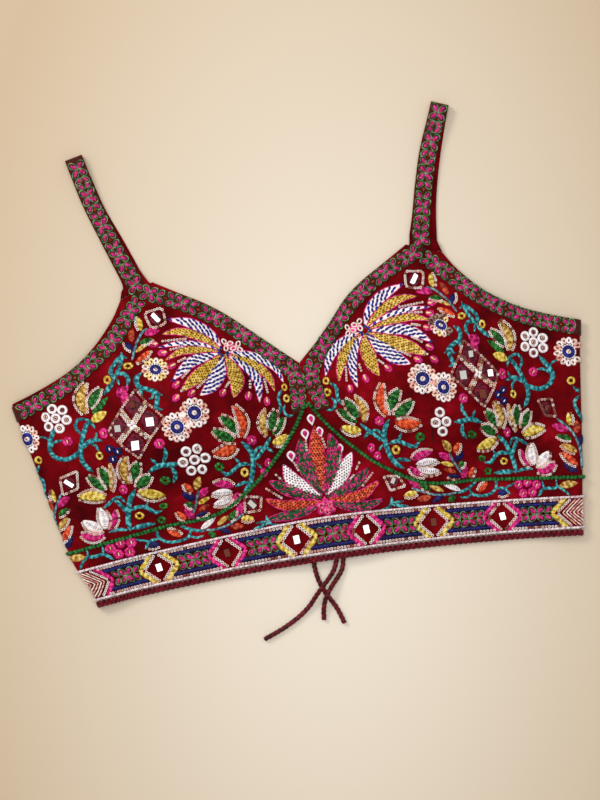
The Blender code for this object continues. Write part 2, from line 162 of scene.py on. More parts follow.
# %% Lamps
SKY_COLOUR = "#F4F2F0"
SKY_STRENGTH = 0.42
LAMPS = (
    # name, place, size, power, colour
    ("lamp_above", (0.07, 0.07, 2.2), 1.6, 22.9, "#FFFBF5"),
    ("lamp_upper_left", (-0.9, 1.0, 1.3), 0.7, 13.0, "#FFF8F0"),
)

sky = bpy.data.worlds.new("studio_sky")
bpy.context.scene.world = sky
sky.use_nodes = True
sky.node_tree.nodes["Background"].inputs["Color"].default_value = linear(SKY_COLOUR)
sky.node_tree.nodes["Background"].inputs["Strength"].default_value = SKY_STRENGTH
for lamp_name, place, size, power, colour in LAMPS:
    lamp_data = bpy.data.lights.new(lamp_name, "AREA")
    lamp_data.shape = "DISK"
    lamp_data.size = size
    lamp_data.energy = power
    lamp_data.color = linear(colour)[:3]
    lamp = bpy.data.objects.new(lamp_name, lamp_data)
    bpy.context.scene.collection.objects.link(lamp)
    lamp.location = place
    lamp.rotation_euler = (-Vector(place)).to_track_quat("-Z", "Y").to_euler()
bpy.context.scene.view_settings.view_transform = "Standard"
print("lamps:", len(LAMPS))

# %% [markdown]
# ## The blouse's plan
# The cloth's shape comes from a pattern, as a tailor draws it. It is the same on both sides of
# the centre front: x runs out from the centre, y runs up from the notch of the neckline, both in
# millimetres. These are the solid model's curves, written for whole arrays of points, so that
# tens of thousands of stitches can be placed in one call.

# %% Sizes of the plan
SIDES = ((-1, "left"), (1, "right"))
WALL = 1.5  # velvet with its lining
SEAM_GAP = 0.3
SEAM_MARGIN = 3.0  # no motif comes nearer than this to a side seam
LEAN = 2.5  # how far the top lies to the left and the hem to the right
LEAN_MIDDLE = -60.0
LEAN_REACH = 60.0
SKEW = 0.012
CENTRE_SHIFT = 2.3  # how far the middle lies to the right, above the border
CENTRE_REACH = 50.0
CENTRE_FOOT = -146.0
NECK_SHIFT = 2.0  # how much further the right half of the neckline lies
NECK_SHIFT_X = 24.0
NECK_REACH = 30.0
NECK_FOOT = -30.0
SHIFT_RISE = 30.0  # over how much of the height both of them grow
CORNER_TUCK = 8.0  # how far the left hem corner is pushed in
CORNER_X = 148.0  # where that begins, and over how far it comes
CORNER_Y = -118.0
CORNER_REACH = (40.0, 38.0)
ORIGIN_X = -1.96
ORIGIN_Y = 11.75
UNDERARM_HALF = 221.0
UNDERARM_Y = 3.0
SIDE_TAPER = 0.176
BORDER_HALF = 194.0
FRONT_Z = WALL + 0.85 + WALL / 2
BACK_Z = WALL / 2
FOLD_RADIUS = 3.1
SIDE_RISE_REACH = 45.0
SEAM_ANGLE = math.radians(105)
CUP_HEIGHT = 34.0
CUP_CENTRE = (100.0, -27.0)
CUP_REACH_IN = 86.0
CUP_REACH_OUT = 112.0
CUP_REACH_UP = 96.0
CUP_REACH_DOWN = 80.0
CUP_ROUNDNESS = 1.7
TIE_HUMP = 3.9
TIE_HUMP_MIDDLE = -1.5
TIE_HUMP_FLAT = 20.0
TIE_HUMP_FALL = 34.0
TIE_HUMP_START_Y = -100.0
TIE_HUMP_FULL_Y = -138.0

# Edges: x out from the centre, y of the edge there
NECKLINE = ((0, 2.4), (13, 14.7), (29, 30.6), (45, 46), (61, 58), (77, 67.5), (98, 80))
ARMHOLE = ((125, 70.5), (133, 57.2), (148, 40), (164, 27), (180, 18.2), (204, 8.8), (223, 2.6))
CUP_SEAM = ((0, -27), (10, -43.5), (20, -56.5), (33, -70), (46, -82), (60, -92),
            (75, -100.8), (90, -105), (120, -106.8), (160, -111.8), (206, -117.4))
BACK_TOP = ((0, -66), (60, -56), (105, -38), (150, -18), (185, -4), (223, 1))

# %% Curves of the plan
def smooth_step(t):
    t = np.clip(t, 0.0, 1.0)
    return t * t * (3.0 - 2.0 * t)


def curve_through(rows, x, column=1):
    """A smooth curve through the rows of a table, read at x; its first column ascends."""
    at = np.array([row[0] for row in rows], float)
    value = np.array([row[column] for row in rows], float)
    last = len(rows) - 1
    i = np.clip(np.searchsorted(at, x, side="left") - 1, 0, last - 1)
    before, after = np.maximum(i - 1, 0), np.minimum(i + 2, last)
    span = at[i + 1] - at[i]
    slope0 = (value[i + 1] - value[before]) / (at[i + 1] - at[before])
    slope1 = (value[after] - value[i]) / (at[after] - at[i])
    t = (x - at[i]) / span
    return ((1 + 2 * t) * (1 - t) ** 2 * value[i] + t * (1 - t) ** 2 * span * slope0
            + t * t * (3 - 2 * t) * value[i + 1] + t * t * (t - 1) * span * slope1)


def half_width(y):
    return UNDERARM_HALF - SIDE_TAPER * np.maximum(0.0, UNDERARM_Y - y)


def top_edge(x):
    """Neckline, then the strap's base, then the armhole."""
    (x0, y0), (x1, y1) = NECKLINE[-1], ARMHOLE[0]
    base = y0 + (x - x0) / (x1 - x0) * (y1 - y0)
    outer = np.where(x >= x1, curve_through(ARMHOLE, np.maximum(x, x1)), base)
    return np.where(x <= x0, curve_through(NECKLINE, np.minimum(x, x0)), outer)


def cup_seam(x):
    return curve_through(CUP_SEAM, x)


def drooping(middle, drop, power):
    """An edge that droops towards the sides; at the border's ends it has fallen by drop."""
    return lambda x: middle - drop * (np.abs(x) / BORDER_HALF) ** power


band_top = drooping(-118.5, 12.7, 1.6)
band_bottom = drooping(-146.0, 10.0, 1.9)


def fold_start(y):
    """Where the front begins to turn down round the side."""
    return half_width(y) - FOLD_RADIUS - WALL / 2


def seam_distance(y):
    return fold_start(y) + FOLD_RADIUS * SEAM_ANGLE


def clear_of_seam(x, y):
    return x < seam_distance(y) - SEAM_MARGIN


def side_spot(share, edge):
    """Where a column meets an edge: its distance along the cloth, and its height."""
    y = edge(share * seam_distance(0.0))
    for _ in range(8):
        y = edge(share * seam_distance(y))
    return share * seam_distance(y), y

# %% [markdown]
# ## The lie of the cloth
# Worn cloth never lies quite even. The bust darts pull it in along a line, the embroidery makes
# it ripple between the motifs, and it sags beside the domes of the cups. We add soft troughs and
# ridges, one row each, to the height of the cloth, so that whatever is sewn on follows.

# %% Height of the front
DART_LEFT = -85.0
DART_RIGHT = 93.0
DART_TOP = -34.0
DART_FOOT = -104.0
DART_DEPTH = 1.5
LIE_FADE = 14.0  # the cloth lies even this near to a side fold

CREASES = (
    # x and y of one end, x and y of the other, height (a trough is less than 0), half width
    (-112, -12, -84, 6, -0.9, 5), (-128, -96, -98, -72, -1.3, 8), (-72, -100, -78, -66, 1.1, 9),
    (-30, -62, -62, -98, 0.7, 7), (-208, -30, -172, -74, 0.9, 9), (-196, -118, -150, -96, -0.8, 7),
    (-44, 30, -60, -2, 0.5, 6), (-150, 34, -132, 4, 0.6, 7), (120, -90, 134, -76, -1.3, 9),
    (104, 10, 112, -14, -0.7, 6), (80, -62, 74, -98, 1, 9), (40, -64, 66, -90, 0.6, 7),
    (206, -34, 190, -82, 0.9, 8), (150, -96, 196, -104, -0.9, 6), (46, 34, 58, 6, 0.5, 6),
    (160, 8, 196, -26, 0.6, 8), (-20, -84, -46, -118, -0.6, 8), (24, -80, 44, -116, -0.6, 8),
    (-96, -132, -70, -144, -0.5, 6), (112, -130, 146, -140, -0.5, 7),
)


def crease_height(x, y):
    height = np.zeros(np.shape(x))
    for x0, y0, x1, y1, rise, reach in CREASES:
        run = math.hypot(x1 - x0, y1 - y0)
        t = ((x - x0) * (x1 - x0) + (y - y0) * (y1 - y0)) / run ** 2
        away = ((x - x0) * (y1 - y0) - (y - y0) * (x1 - x0)) / run
        end = np.maximum(0.0, np.abs(t - 0.5) - 0.5) * run
        height += rise * np.exp(-(away / reach) ** 2 - (end / (1.4 * reach)) ** 2)
    return height


def dart_height(x, y):
    """A sewn line with the cloth puffed up a little on both sides of it."""
    line = np.where(x < 0, DART_LEFT, DART_RIGHT)
    away = np.abs(x - line)
    strength = smooth_step((DART_TOP - y) / 22.0) * smooth_step((y - DART_FOOT + 6.0) / 6.0)
    return DART_DEPTH * strength * (0.6 * np.exp(-(away / 13.0) ** 2) - 1.3 * np.exp(-away / 1.6))


def ripple_height(x, y):
    """Small waves between the motifs; their lengths have no common measure, so none repeats."""
    return 0.22 * (np.sin(x / 9.1 + 1.3 * np.sin(y / 13.7)) * np.sin(y / 8.3 + 0.9 * np.sin(x / 17.9))
                   + 0.8 * np.sin((x + 1.7 * y) / 14.3 + 0.6) * np.cos((y - 0.6 * x) / 19.1))


def front_height(x, y):
    """Height of the middle of the front's wall above the table."""
    inside = fold_start(y) - np.abs(x)
    side_z = BACK_Z + 2 * FOLD_RADIUS
    rise = smooth_step((SIDE_RISE_REACH - inside) / SIDE_RISE_REACH)
    across = np.abs(x) - CUP_CENTRE[0]
    up = y - CUP_CENTRE[1]
    across = across / np.where(across > 0, CUP_REACH_OUT, CUP_REACH_IN)
    up = up / np.where(up > 0, CUP_REACH_UP, CUP_REACH_DOWN)
    dome = CUP_HEIGHT * np.maximum(0.0, 1.0 - across * across - up * up) ** CUP_ROUNDNESS
    away = (np.abs(x - TIE_HUMP_MIDDLE) - TIE_HUMP_FLAT) / TIE_HUMP_FALL
    down = (TIE_HUMP_START_Y - y) / (TIE_HUMP_START_Y - TIE_HUMP_FULL_Y)
    hump = TIE_HUMP * (1.0 - smooth_step(away)) * smooth_step(down)
    lie = crease_height(x, y) + dart_height(x, y) + ripple_height(x, y)
    return FRONT_Z + (side_z - FRONT_Z) * rise + dome + hump + lie * smooth_step(inside / LIE_FADE)


def laid(points):
    """From the pattern to the blouse as it lies: millimetres in, metres out."""
    x, y, z = points[..., 0], points[..., 1], points[..., 2]
    lean = LEAN * np.tanh((y - LEAN_MIDDLE) / LEAN_REACH)
    shift = (CENTRE_SHIFT * (1.0 - smooth_step(np.abs(x) / CENTRE_REACH))
             * smooth_step((y - CENTRE_FOOT) / SHIFT_RISE)
             + NECK_SHIFT * (1.0 - smooth_step(np.abs(x - NECK_SHIFT_X) / NECK_REACH))
             * smooth_step((y - NECK_FOOT) / SHIFT_RISE))
    tuck = (CORNER_TUCK * smooth_step((-x - CORNER_X) / CORNER_REACH[0])
            * smooth_step((CORNER_Y - y) / CORNER_REACH[1]))
    return np.stack([x - lean + shift + tuck - ORIGIN_X, y - SKEW * x - ORIGIN_Y, z], -1) * MM


def front_point(side, along, y, out=0.0):
    """Points of the front, along the cloth from the centre, and out from its middle."""
    along, y, out = np.broadcast_arrays(*(np.asarray(v, float) for v in (along, y, out)))
    start = fold_start(y)
    turn = (along - start) / FOLD_RADIUS
    x = side * np.minimum(along, start)
    step = 0.5
    slope_x = (front_height(x + step, y) - front_height(x - step, y)) / (2 * step)
    slope_y = (front_height(x, y + step) - front_height(x, y - step)) / (2 * step)
    normal = np.stack([-slope_x, -slope_y, np.ones(x.shape)], -1)
    normal /= np.linalg.norm(normal, axis=-1, keepdims=True)
    flat = np.stack([x, y, front_height(x, y)], -1) + normal * out[..., None]
    reach = start + (FOLD_RADIUS + out) * np.sin(turn)
    height = BACK_Z + FOLD_RADIUS + (FOLD_RADIUS + out) * np.cos(turn)
    turned = np.stack([side * reach, y, height], -1)
    return laid(np.where((turn > 0)[..., None], turned, flat))


print("apex of a cup, mm:", round(float(front_height(np.array(100.0), np.array(-27.0))), 1))

# %% [markdown]
# ## Velvet
# Silk velvet has a short cut pile. Its fibres stand up, so it looks darkest where it faces us and
# glows a little at grazing angles, which a shader calls sheen. The needle lays the pile this way
# and that, so its red is never quite even. Three noises do that: a broad one for the brushed
# pile, a middle one for the marks of the hand, and a fine one for the pile itself, drawn at half
# a millimetre because the real one is too fine to show.

# %% Velvet material
VELVET_COLOURS = ((0.36, "#3A0004"), (0.48, "#5C0107"), (0.57, "#70020A"), (0.68, "#940619"))
PILE_SIZE = 0.5  # mm
BRUSH_SIZE = 38.0
HAND_SIZE = 7.0


def object_place(material):
    return add_node(material, "ShaderNodeTexCoord").outputs["Object"]


def noise_at(material, place, size, detail=2.0):
    """Noise whose patches are about size mm across, from 0 to 1."""
    texture = add_node(material, "ShaderNodeTexNoise",
                       {"Scale": 1.0 / (size * MM), "Detail": detail, "Roughness": 0.55},
                       {"Vector": place})
    return texture.outputs["Fac"]


def weighted_sum(material, *parts):
    """Adds up values, each times its weight."""
    total = {}
    for value, weight in parts:
        settings = {"operation": "MULTIPLY_ADD", 1: weight, 2: 0.0}
        node = add_node(material, "ShaderNodeMath", settings, {0: value, **total})
        total = {2: node.outputs["Value"]}
    return node.outputs["Value"]


def bump_from(material, shader, height, strength, depth):
    """Bump whose full height is depth mm."""
    bump = add_node(material, "ShaderNodeBump", {"Strength": strength, "Distance": depth * MM},
                    {"Height": height})
    feed(material, shader, "Normal", bump.outputs["Normal"])


velvet, velvet_shader = new_material("silk_velvet", {
    "Roughness": 0.85, "Specular IOR Level": 0.06, "Sheen Weight": 0.12, "Sheen Roughness": 0.45,
    "Sheen Tint": linear("#D03048")})
velvet_place = object_place(velvet)
brushed = noise_at(velvet, velvet_place, BRUSH_SIZE)
handled = noise_at(velvet, velvet_place, HAND_SIZE)
pile = noise_at(velvet, velvet_place, PILE_SIZE, 1.0)
velvet_mix = weighted_sum(velvet, (brushed, 0.6), (handled, 0.25), (pile, 0.2))
feed(velvet, velvet_shader, "Base Color", colour_ramp(velvet, velvet_mix, VELVET_COLOURS))
bump_from(velvet, velvet_shader, weighted_sum(velvet, (pile, 1.0), (handled, 2.0)), 0.5, 0.25)
print("velvet nodes:", len(velvet.node_tree.nodes))

# %% [markdown]
# ## Cutting the cloth
# Each panel is a grid, as fine as the cloth needs to bend. Its corners run from 0 to 1, and a
# function for each panel says where a corner lies. Solidify then gives the cloth its thickness.
# The area is measured before that, because it is the size of the flat piece to be cut.

# %% Make a panel of cloth
VELVET_WALL = 1.3
LEAST_SHARE = 0.31  # of a strip's own rectangle that it fills at least
CLOTH_TOP = WALL / 2  # from the middle of the front's wall to the face that is sewn on


def finish_piece(name, mesh, material, slot, *nodes):
    """Makes the object, rides it on the blouse, and hides the solids it stands for."""
    mesh.materials.append(material)
    piece = bpy.data.objects.new(name, mesh)
    bpy.context.scene.collection.objects.link(piece)
    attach(piece, "root")
    if nodes:
        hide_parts(*nodes)
    return piece


def cloth(name, columns, rows, place, wall, material, slot, node, flat):
    """A panel of cloth on a grid; place turns two arrays from 0 to 1 into points."""
    bm = bmesh.new()
    bmesh.ops.create_grid(bm, x_segments=columns, y_segments=rows, size=0.5)
    corners = np.array([vert.co for vert in bm.verts]) + 0.5
    for vert, point in zip(bm.verts, place(corners[:, 0], corners[:, 1])):
        vert.co = point
    bmesh.ops.recalc_face_normals(bm, faces=bm.faces)
    if sum(1 if face.normal.z > 0 else -1 for face in bm.faces) < 0:
        bmesh.ops.reverse_faces(bm, faces=bm.faces)
    area = sum(face.calc_area() for face in bm.faces)
    mesh = bpy.data.meshes.new(name)
    bm.to_mesh(mesh)
    bm.free()
    mesh.shade_smooth()
    piece = finish_piece(name, mesh, material, slot, node)
    solidify = piece.modifiers.new("wall", "SOLIDIFY")
    solidify.thickness = wall * MM
    solidify.offset = 0.0
    width, length = (size * MM for size in flat)
    area = max(LEAST_SHARE * width * length, min(area, width * length))
    print(f"{name}: {area * 1e4:.0f} cm2 of {width * 1e3:.0f} x {length * 1e3:.0f} mm")

# %% [markdown]
# ## Cups and yoke
# A cup is one panel from the knotted green line up to the neckline and the armhole, with the
# dart sewn into it. The yoke fills the point between the cups and runs on as a narrow strip to
# the sides. They stop a hair short of each other, as cut edges do.

# %% Panels of the front
CELL = 3.4  # mm between a panel's threads of corners


def half_gap(edge, along):
    slope = edge(along + 0.5) - edge(along - 0.5)
    return SEAM_GAP / 2 * np.hypot(1.0, slope)


def cup_place(side):
    def place(u, v):
        low_at, low = side_spot(u, cup_seam)
        low = low + half_gap(cup_seam, np.maximum(low_at, 0.5))
        top = side_spot(u, top_edge)[1]
        y = low + (top - low) * v
        return front_point(side, np.maximum(0.15, u * seam_distance(y)), y)
    return place


def strip_place(low_edge, high_edge):
    """A strip across the whole front; u runs from the left side seam to the right one."""
    def place(u, v):
        share = np.abs(2 * u - 1)
        side = np.where(u < 0.5, -1.0, 1.0)
        low_at, low = side_spot(share, low_edge)
        high_at, high = side_spot(share, high_edge)
        low = low + half_gap(low_edge, np.maximum(low_at, 0.5))
        high = high - half_gap(high_edge, np.maximum(high_at, 0.5))
        y = low + (high - low) * v
        return front_point(side, share * seam_distance(y), y)
    return place


def velvet_panel(node, columns, rows, place, flat, *rests_on):
    cloth(f"velvet_{node}", columns, rows, place, VELVET_WALL, velvet, "maroon_velvet", node, flat)


for side, word in SIDES:
    velvet_panel(f"cup_{word}", round(224 / CELL), round(180 / CELL), cup_place(side), (224.0, 226.0),
                 f"back_{word}")
velvet_panel("yoke", round(420 / CELL), 26, strip_place(band_top, cup_seam), (418.0, 91.5),
             "back_left", "back_right")
cloth("border_cloth", round(400 / CELL), 9, strip_place(band_bottom, band_top), VELVET_WALL,
      velvet, "border_embroidery", "border_band", (404.0, 48.0))

# %% [markdown]
# ## Straps
# A strap is one long strip. It runs up the front, folds over at the shoulder and comes back
# underneath to the back panel. Its middle line is a table of a few places.

# %% Straps
# Front run: y, x on the left, x on the right, half width
STRAP_FRONT = (
    (75.8, -111.5, 111.5, 13.6), (80, -112, 111, 10.2), (85, -113.4, 110.8, 8.8),
    (92, -116.2, 112.2, 8), (100, -119.4, 114.1, 7.5), (125, -128, 120.2, 7.1),
    (149, -135.4, 127.6, 7.1), (172, -140.6, 137, 7), (181, -142.6, 140.6, 6.9),
)
# Back run: y, x on the left, x on the right
STRAP_BACK = (
    (-38, -106, 105), (0, -104.5, 107.5), (40, -106, 112), (80, -111, 115.8),
    (110, -120.8, 120), (140, -132.2, 127.4), (165, -138.9, 135.2), (181, -142.6, 140.6),
)
STRAP_HALF = 6.9
STRAP_FOLD_RADIUS = 2.5
STRAP_RISE = 30.0
STRAP_SAG = 0.35
STRAP_FOOT = STRAP_FRONT[0][0]
STRAP_TOP = STRAP_FRONT[-1][0]
FRONT_SHARE = 0.44  # of the grid's rows that lie on the front run
FOLD_SHARE = 0.08


def strap_column(side):
    return 1 if side < 0 else 2


def across_strap(rows, column, y):
    """The level direction across the strap, as an x and a y."""
    lean = curve_through(rows, y + 0.5, column) - curve_through(rows, y - 0.5, column)
    length = np.hypot(1.0, lean)
    return 1.0 / length, -lean / length


def strap_front(side, y, across, out=0.0):
    """Points on the front run of a strap, across from its middle and out from its wall."""
    column = strap_column(side)
    across_x, across_y = across_strap(STRAP_FRONT, column, y)
    fold_z = BACK_Z + 2 * STRAP_FOLD_RADIUS
    z = FRONT_Z + (fold_z - FRONT_Z) * smooth_step((y - STRAP_TOP + STRAP_RISE) / STRAP_RISE)
    sag = STRAP_SAG * np.sin(y / 11.0 + side) * smooth_step((STRAP_TOP - y) / 20.0)
    x = curve_through(STRAP_FRONT, y, column) + across * across_x
    return laid(np.stack([x, y + across * across_y, z + sag + out], -1))


def strap_round(side, turn, across, out=0.0):
    """Points round the fold at the shoulder, turned from 0 at the front to pi underneath."""
    column = strap_column(side)
    across_x, across_y = across_strap(STRAP_FRONT, column, STRAP_TOP)
    radius = STRAP_FOLD_RADIUS + out
    forward = radius * np.sin(turn)
    x = STRAP_FRONT[-1][column] + across * across_x - across_y * forward
    y = STRAP_TOP + across * across_y + across_x * forward
    return laid(np.stack([x, y, BACK_Z + STRAP_FOLD_RADIUS + radius * np.cos(turn)], -1))


def strap_back(side, t, across):
    """Points of the run that comes back underneath to the back panel."""
    column = strap_column(side)
    foot_x = abs(STRAP_BACK[0][column])
    end = curve_through(BACK_TOP, foot_x) + 2 * SEAM_GAP
    y = STRAP_TOP + (end - STRAP_TOP) * t
    top_x, top_y = across_strap(STRAP_FRONT, column, STRAP_TOP)
    low_x, low_y = across_strap(STRAP_BACK, column, y)
    blend = np.minimum(1.0, 3 * t)
    x = curve_through(STRAP_BACK, y, column) + across * (top_x + (low_x - top_x) * blend)
    y = y + across * (top_y + (low_y - top_y) * blend)
    ending = t > 0.999
    y = np.where(ending, curve_through(BACK_TOP, np.abs(x)) + SEAM_GAP * 1.5, y)
    return laid(np.stack([x, y, np.full(x.shape, BACK_Z)], -1))


def strap_place(side):
    def place(u, v):
        column = strap_column(side)
        front_t = np.clip(v / FRONT_SHARE, 0.0, 1.0)
        fold_t = np.clip((v - FRONT_SHARE) / FOLD_SHARE, 0.0, 1.0)
        back_t = np.clip((v - FRONT_SHARE - FOLD_SHARE) / (1 - FRONT_SHARE - FOLD_SHARE), 0.0, 1.0)
        y = STRAP_FOOT + (STRAP_TOP - STRAP_FOOT) * front_t
        half = curve_through(STRAP_FRONT, y, 3)
        front = strap_front(side, y, (2 * u - 1) * half)
        foot_x = abs(STRAP_FRONT[0][column]) + STRAP_FRONT[0][3] * (2 * u - 1) * side
        foot = laid(np.stack([side * foot_x, top_edge(foot_x) + SEAM_GAP,
                              np.full(u.shape, FRONT_Z)], -1))
        front = np.where((v < 1e-6)[:, None], foot, front)
        fold = strap_round(side, np.pi * fold_t, (2 * u - 1) * STRAP_HALF)
        back = strap_back(side, back_t, (2 * u - 1) * STRAP_HALF)
        points = np.where((v > FRONT_SHARE + 1e-6)[:, None], fold, front)
        return np.where((v > FRONT_SHARE + FOLD_SHARE + 1e-6)[:, None], back, points)
    return place


for side, word in SIDES:
    velvet_panel(f"strap_{word}", 6, 100, strap_place(side), (24.0, 340.0), f"back_{word}")

# %% [markdown]
# ## Back panels
# The back is open down its middle and tied there. Its two panels lie on the table under the
# front, and come up round the sides to meet the cups at the side seams.

# %% Back panels
BACK_OPENING_HALF = 3.0
BACK_FOLD_SHARE = 0.12


def back_place(side):
    begin = SEAM_ANGLE + 2 * SEAM_GAP / FOLD_RADIUS

    def place(u, v):
        y = np.zeros(u.shape)
        turn = begin + (pi - begin) * np.clip(u / BACK_FOLD_SHARE, 0.0, 1.0)
        t = np.clip((u - BACK_FOLD_SHARE) / (1 - BACK_FOLD_SHARE), 0.0, 1.0)
        for _ in range(8):
            start = fold_start(y)
            flat_x = start + (BACK_OPENING_HALF - start) * t
            x = np.where(u < BACK_FOLD_SHARE, start + FOLD_RADIUS * np.sin(turn), flat_x)
            y = band_bottom(x) + (curve_through(BACK_TOP, x) - band_bottom(x)) * v
        z = BACK_Z + FOLD_RADIUS + FOLD_RADIUS * np.cos(turn)
        return laid(np.stack([side * x, y, z], -1))
    return place


for side, word in SIDES:
    velvet_panel(f"back_{word}", 48, 22, back_place(side), (222.0, 158.0), "table_top")

# %% [markdown]
# ## Templates
# Embroidery is thousands of the same few things: a leaf of satin stitch, a ring, a line of chain
# stitch, a sequin. Each is made once with mesh operators, as a template. We keep its faces, and
# for each corner an angle round it and a share of the way along it. A motif is then a formula on
# those two numbers.

# %% Templates from operators
def read_template(bm, around, along, swapped=False):
    """Keeps a shape's faces, and two numbers for each corner: turns round it, and along it."""
    bmesh.ops.recalc_face_normals(bm, faces=bm.faces)
    bm.verts.ensure_lookup_table()
    spots = np.array([vert.co for vert in bm.verts])
    turn, share = around(spots), along(spots)
    faces = [[vert.index for vert in face.verts] for face in bm.faces]
    bm.free()
    pattern = []
    for face in faces:
        turns = turn[face]
        turns = np.where(turns < turns.max() - 0.5, turns + 1.0, turns)
        pair = (turns, share[face]) if swapped else (share[face], turns)
        pattern.append(np.stack(pair, -1))
    return {"count": len(spots), "angle": tau * turn, "share": share,
            "loops": np.concatenate(faces), "sizes": np.array([len(face) for face in faces]),
            "flipped": np.concatenate([face[::-1] for face in faces]),
            "pattern": np.concatenate(pattern),
            "pattern_flipped": np.concatenate([part[::-1] for part in pattern])}


def turns_about_z(spots):
    return np.arctan2(spots[:, 1], spots[:, 0]) / tau % 1.0


def ball_template(around, along):
    """A closed form with a pole at each end."""
    bm = bmesh.new()
    bmesh.ops.create_uvsphere(bm, u_segments=around, v_segments=along, radius=1.0)
    return read_template(bm, turns_about_z, lambda s: np.arccos(np.clip(-s[:, 2], -1, 1)) / pi)


def ring_template(around, section):
    """A ring; along is the turn of its section, from the outside over the top."""
    bm = bmesh.new()
    made = bmesh.ops.create_circle(bm, segments=section, radius=1.0)
    bmesh.ops.rotate(bm, verts=made["verts"], matrix=HALF_TURNED)
    bmesh.ops.translate(bm, verts=made["verts"], vec=(3.0, 0.0, 0.0))
    bmesh.ops.spin(bm, geom=bm.verts[:] + bm.edges[:], cent=(0, 0, 0), axis=(0, 0, 1),
                   angle=tau, steps=around, use_merge=True)
    return read_template(bm, turns_about_z, lambda s: np.arctan2(
        s[:, 2], np.hypot(s[:, 0], s[:, 1]) - 3.0) / tau % 1.0, True)


def tube_template(around, along):
    """A tube with closed ends."""
    bm = bmesh.new()
    bmesh.ops.create_cone(bm, cap_ends=True, segments=around, radius1=1.0, radius2=1.0, depth=1.0)
    lengthwise = [e for e in bm.edges if abs(e.verts[0].co.z - e.verts[1].co.z) > 0.5]
    bmesh.ops.subdivide_edges(bm, edges=lengthwise, cuts=along - 1, use_grid_fill=False)
    return read_template(bm, turns_about_z, lambda s: s[:, 2] + 0.5)


HALF_TURNED = Matrix.Rotation(pi / 2, 3, 'X')
LEAF = ball_template(10, 9)
PETAL = ball_template(14, 18)
KNOT = ball_template(7, 5)
STITCH = ball_template(6, 4)
RING = ring_template(18, 6)
LOOP = ring_template(14, 5)
SEQUIN = ring_template(9, 4)
TUBES = {}


def tube(length, step):
    """A six-sided tube template with about one section for each step of its length."""
    sections = max(2, round(length / step))
    if sections not in TUBES:
        TUBES[sections] = tube_template(6, sections)
    return TUBES[sections]


print("faces of a leaf, a ring and a sequin:", [len(t["sizes"]) for t in (LEAF, RING, SEQUIN)])

# %% [markdown]
# ## Sewing flat, then laying on the cloth
# What is sewn goes into a basket with the piece's name. Its points are flat: x and y on the
# pattern, and the height above the velvet. A full basket is laid on the cloth in one call, and
# becomes one mesh.
#
# Motifs are listed for one half of the blouse. The two halves of handwork are never quite alike,
# and here the work sits a little further to the right in the middle of each half, so a small
# shift is added as the half is copied to each side.

# %% Baskets
# x out from the centre, how much further to the right the work sits, in mm
SHIFT_OUTER = ((0, 0), (55, 1.2), (93, 4.8), (132, 1.8), (188, -3.4), (207, -1.5), (226, 0))
SHIFT_INNER = ((0, 0), (16, 1.7), (30, 3.6), (45, 4.1), (58, 3.2), (70, 2), (85, 0.3), (93, 0),
               (226, 0))
baskets = {}


def motif_shift(x, y):
    x = np.clip(x, 0.0, 226.0)
    outer = curve_through(SHIFT_OUTER, x) * smooth_step((50.0 - y) / 30.0)
    inner = curve_through(SHIFT_INNER, x) * smooth_step((22.0 - y) / 30.0)
    return outer + inner * (1.0 - 0.3 * smooth_step((-60.0 - y) / 20.0))


def to_side(spots, side, centre=None):
    """From the half pattern to one side; centre replaces the shift with a fixed one."""
    x, y = spots[..., 0], spots[..., 1]
    shift = motif_shift(x, y) if centre is None else centre
    return np.stack([side * x + shift, y, spots[..., 2]], -1)


def sew(basket, template, spots, side=1, centre=None, length=1.0):
    """Puts copies of a template in a basket; spots are their corners, flat on the pattern."""
    spots = to_side(spots, side, centre).reshape(-1, template["count"], 3)
    baskets.setdefault(basket, []).append((template, side < 0, spots, length))


def on_front(spots):
    """Lays flat points on the front, with x less than 0 on the left."""
    side = np.where(spots[..., 0] < 0, -1.0, 1.0)
    return front_point(side, np.abs(spots[..., 0]), spots[..., 1], CLOTH_TOP + spots[..., 2])


def empty_basket(basket, material, slot, lay_on=on_front, *nodes, flat=False):
    """Lays a basket's points on the cloth and makes its mesh, with the pattern as its UV map."""
    corners, loops, sizes, pattern = [], [], [], []
    first = 0
    for template, mirrored, spots, length in baskets.pop(basket):
        copies = len(spots)
        starts = first + template["count"] * np.arange(copies)
        corners.append(spots.reshape(-1, 3))
        loops.append((template["flipped" if mirrored else "loops"][None] + starts[:, None]).ravel())
        sizes.append(np.tile(template["sizes"], copies))
        stitched = template["pattern_flipped" if mirrored else "pattern"] * (length, 1.0)
        pattern.append(np.tile(stitched, (copies, 1)))
        first += template["count"] * copies
    sizes, loops = np.concatenate(sizes), np.concatenate(loops)
    points = lay_on(np.concatenate(corners))
    mesh = bpy.data.meshes.new(basket)
    mesh.vertices.add(len(points))
    mesh.vertices.foreach_set("co", points.astype(np.float32).ravel())
    mesh.loops.add(len(loops))
    mesh.loops.foreach_set("vertex_index", loops.astype(np.int32))
    mesh.polygons.add(len(sizes))
    mesh.polygons.foreach_set("loop_start", (np.cumsum(sizes) - sizes).astype(np.int32))
    mesh.update(calc_edges=True)
    mesh.uv_layers.new(name="pattern").data.foreach_set("uv", np.concatenate(pattern).ravel())
    mesh.shade_flat() if flat else mesh.shade_smooth()
    piece = finish_piece(basket, mesh, material, slot, *nodes)
    print(f"{basket}: {int((sizes - 2).sum())} triangles")
    return piece
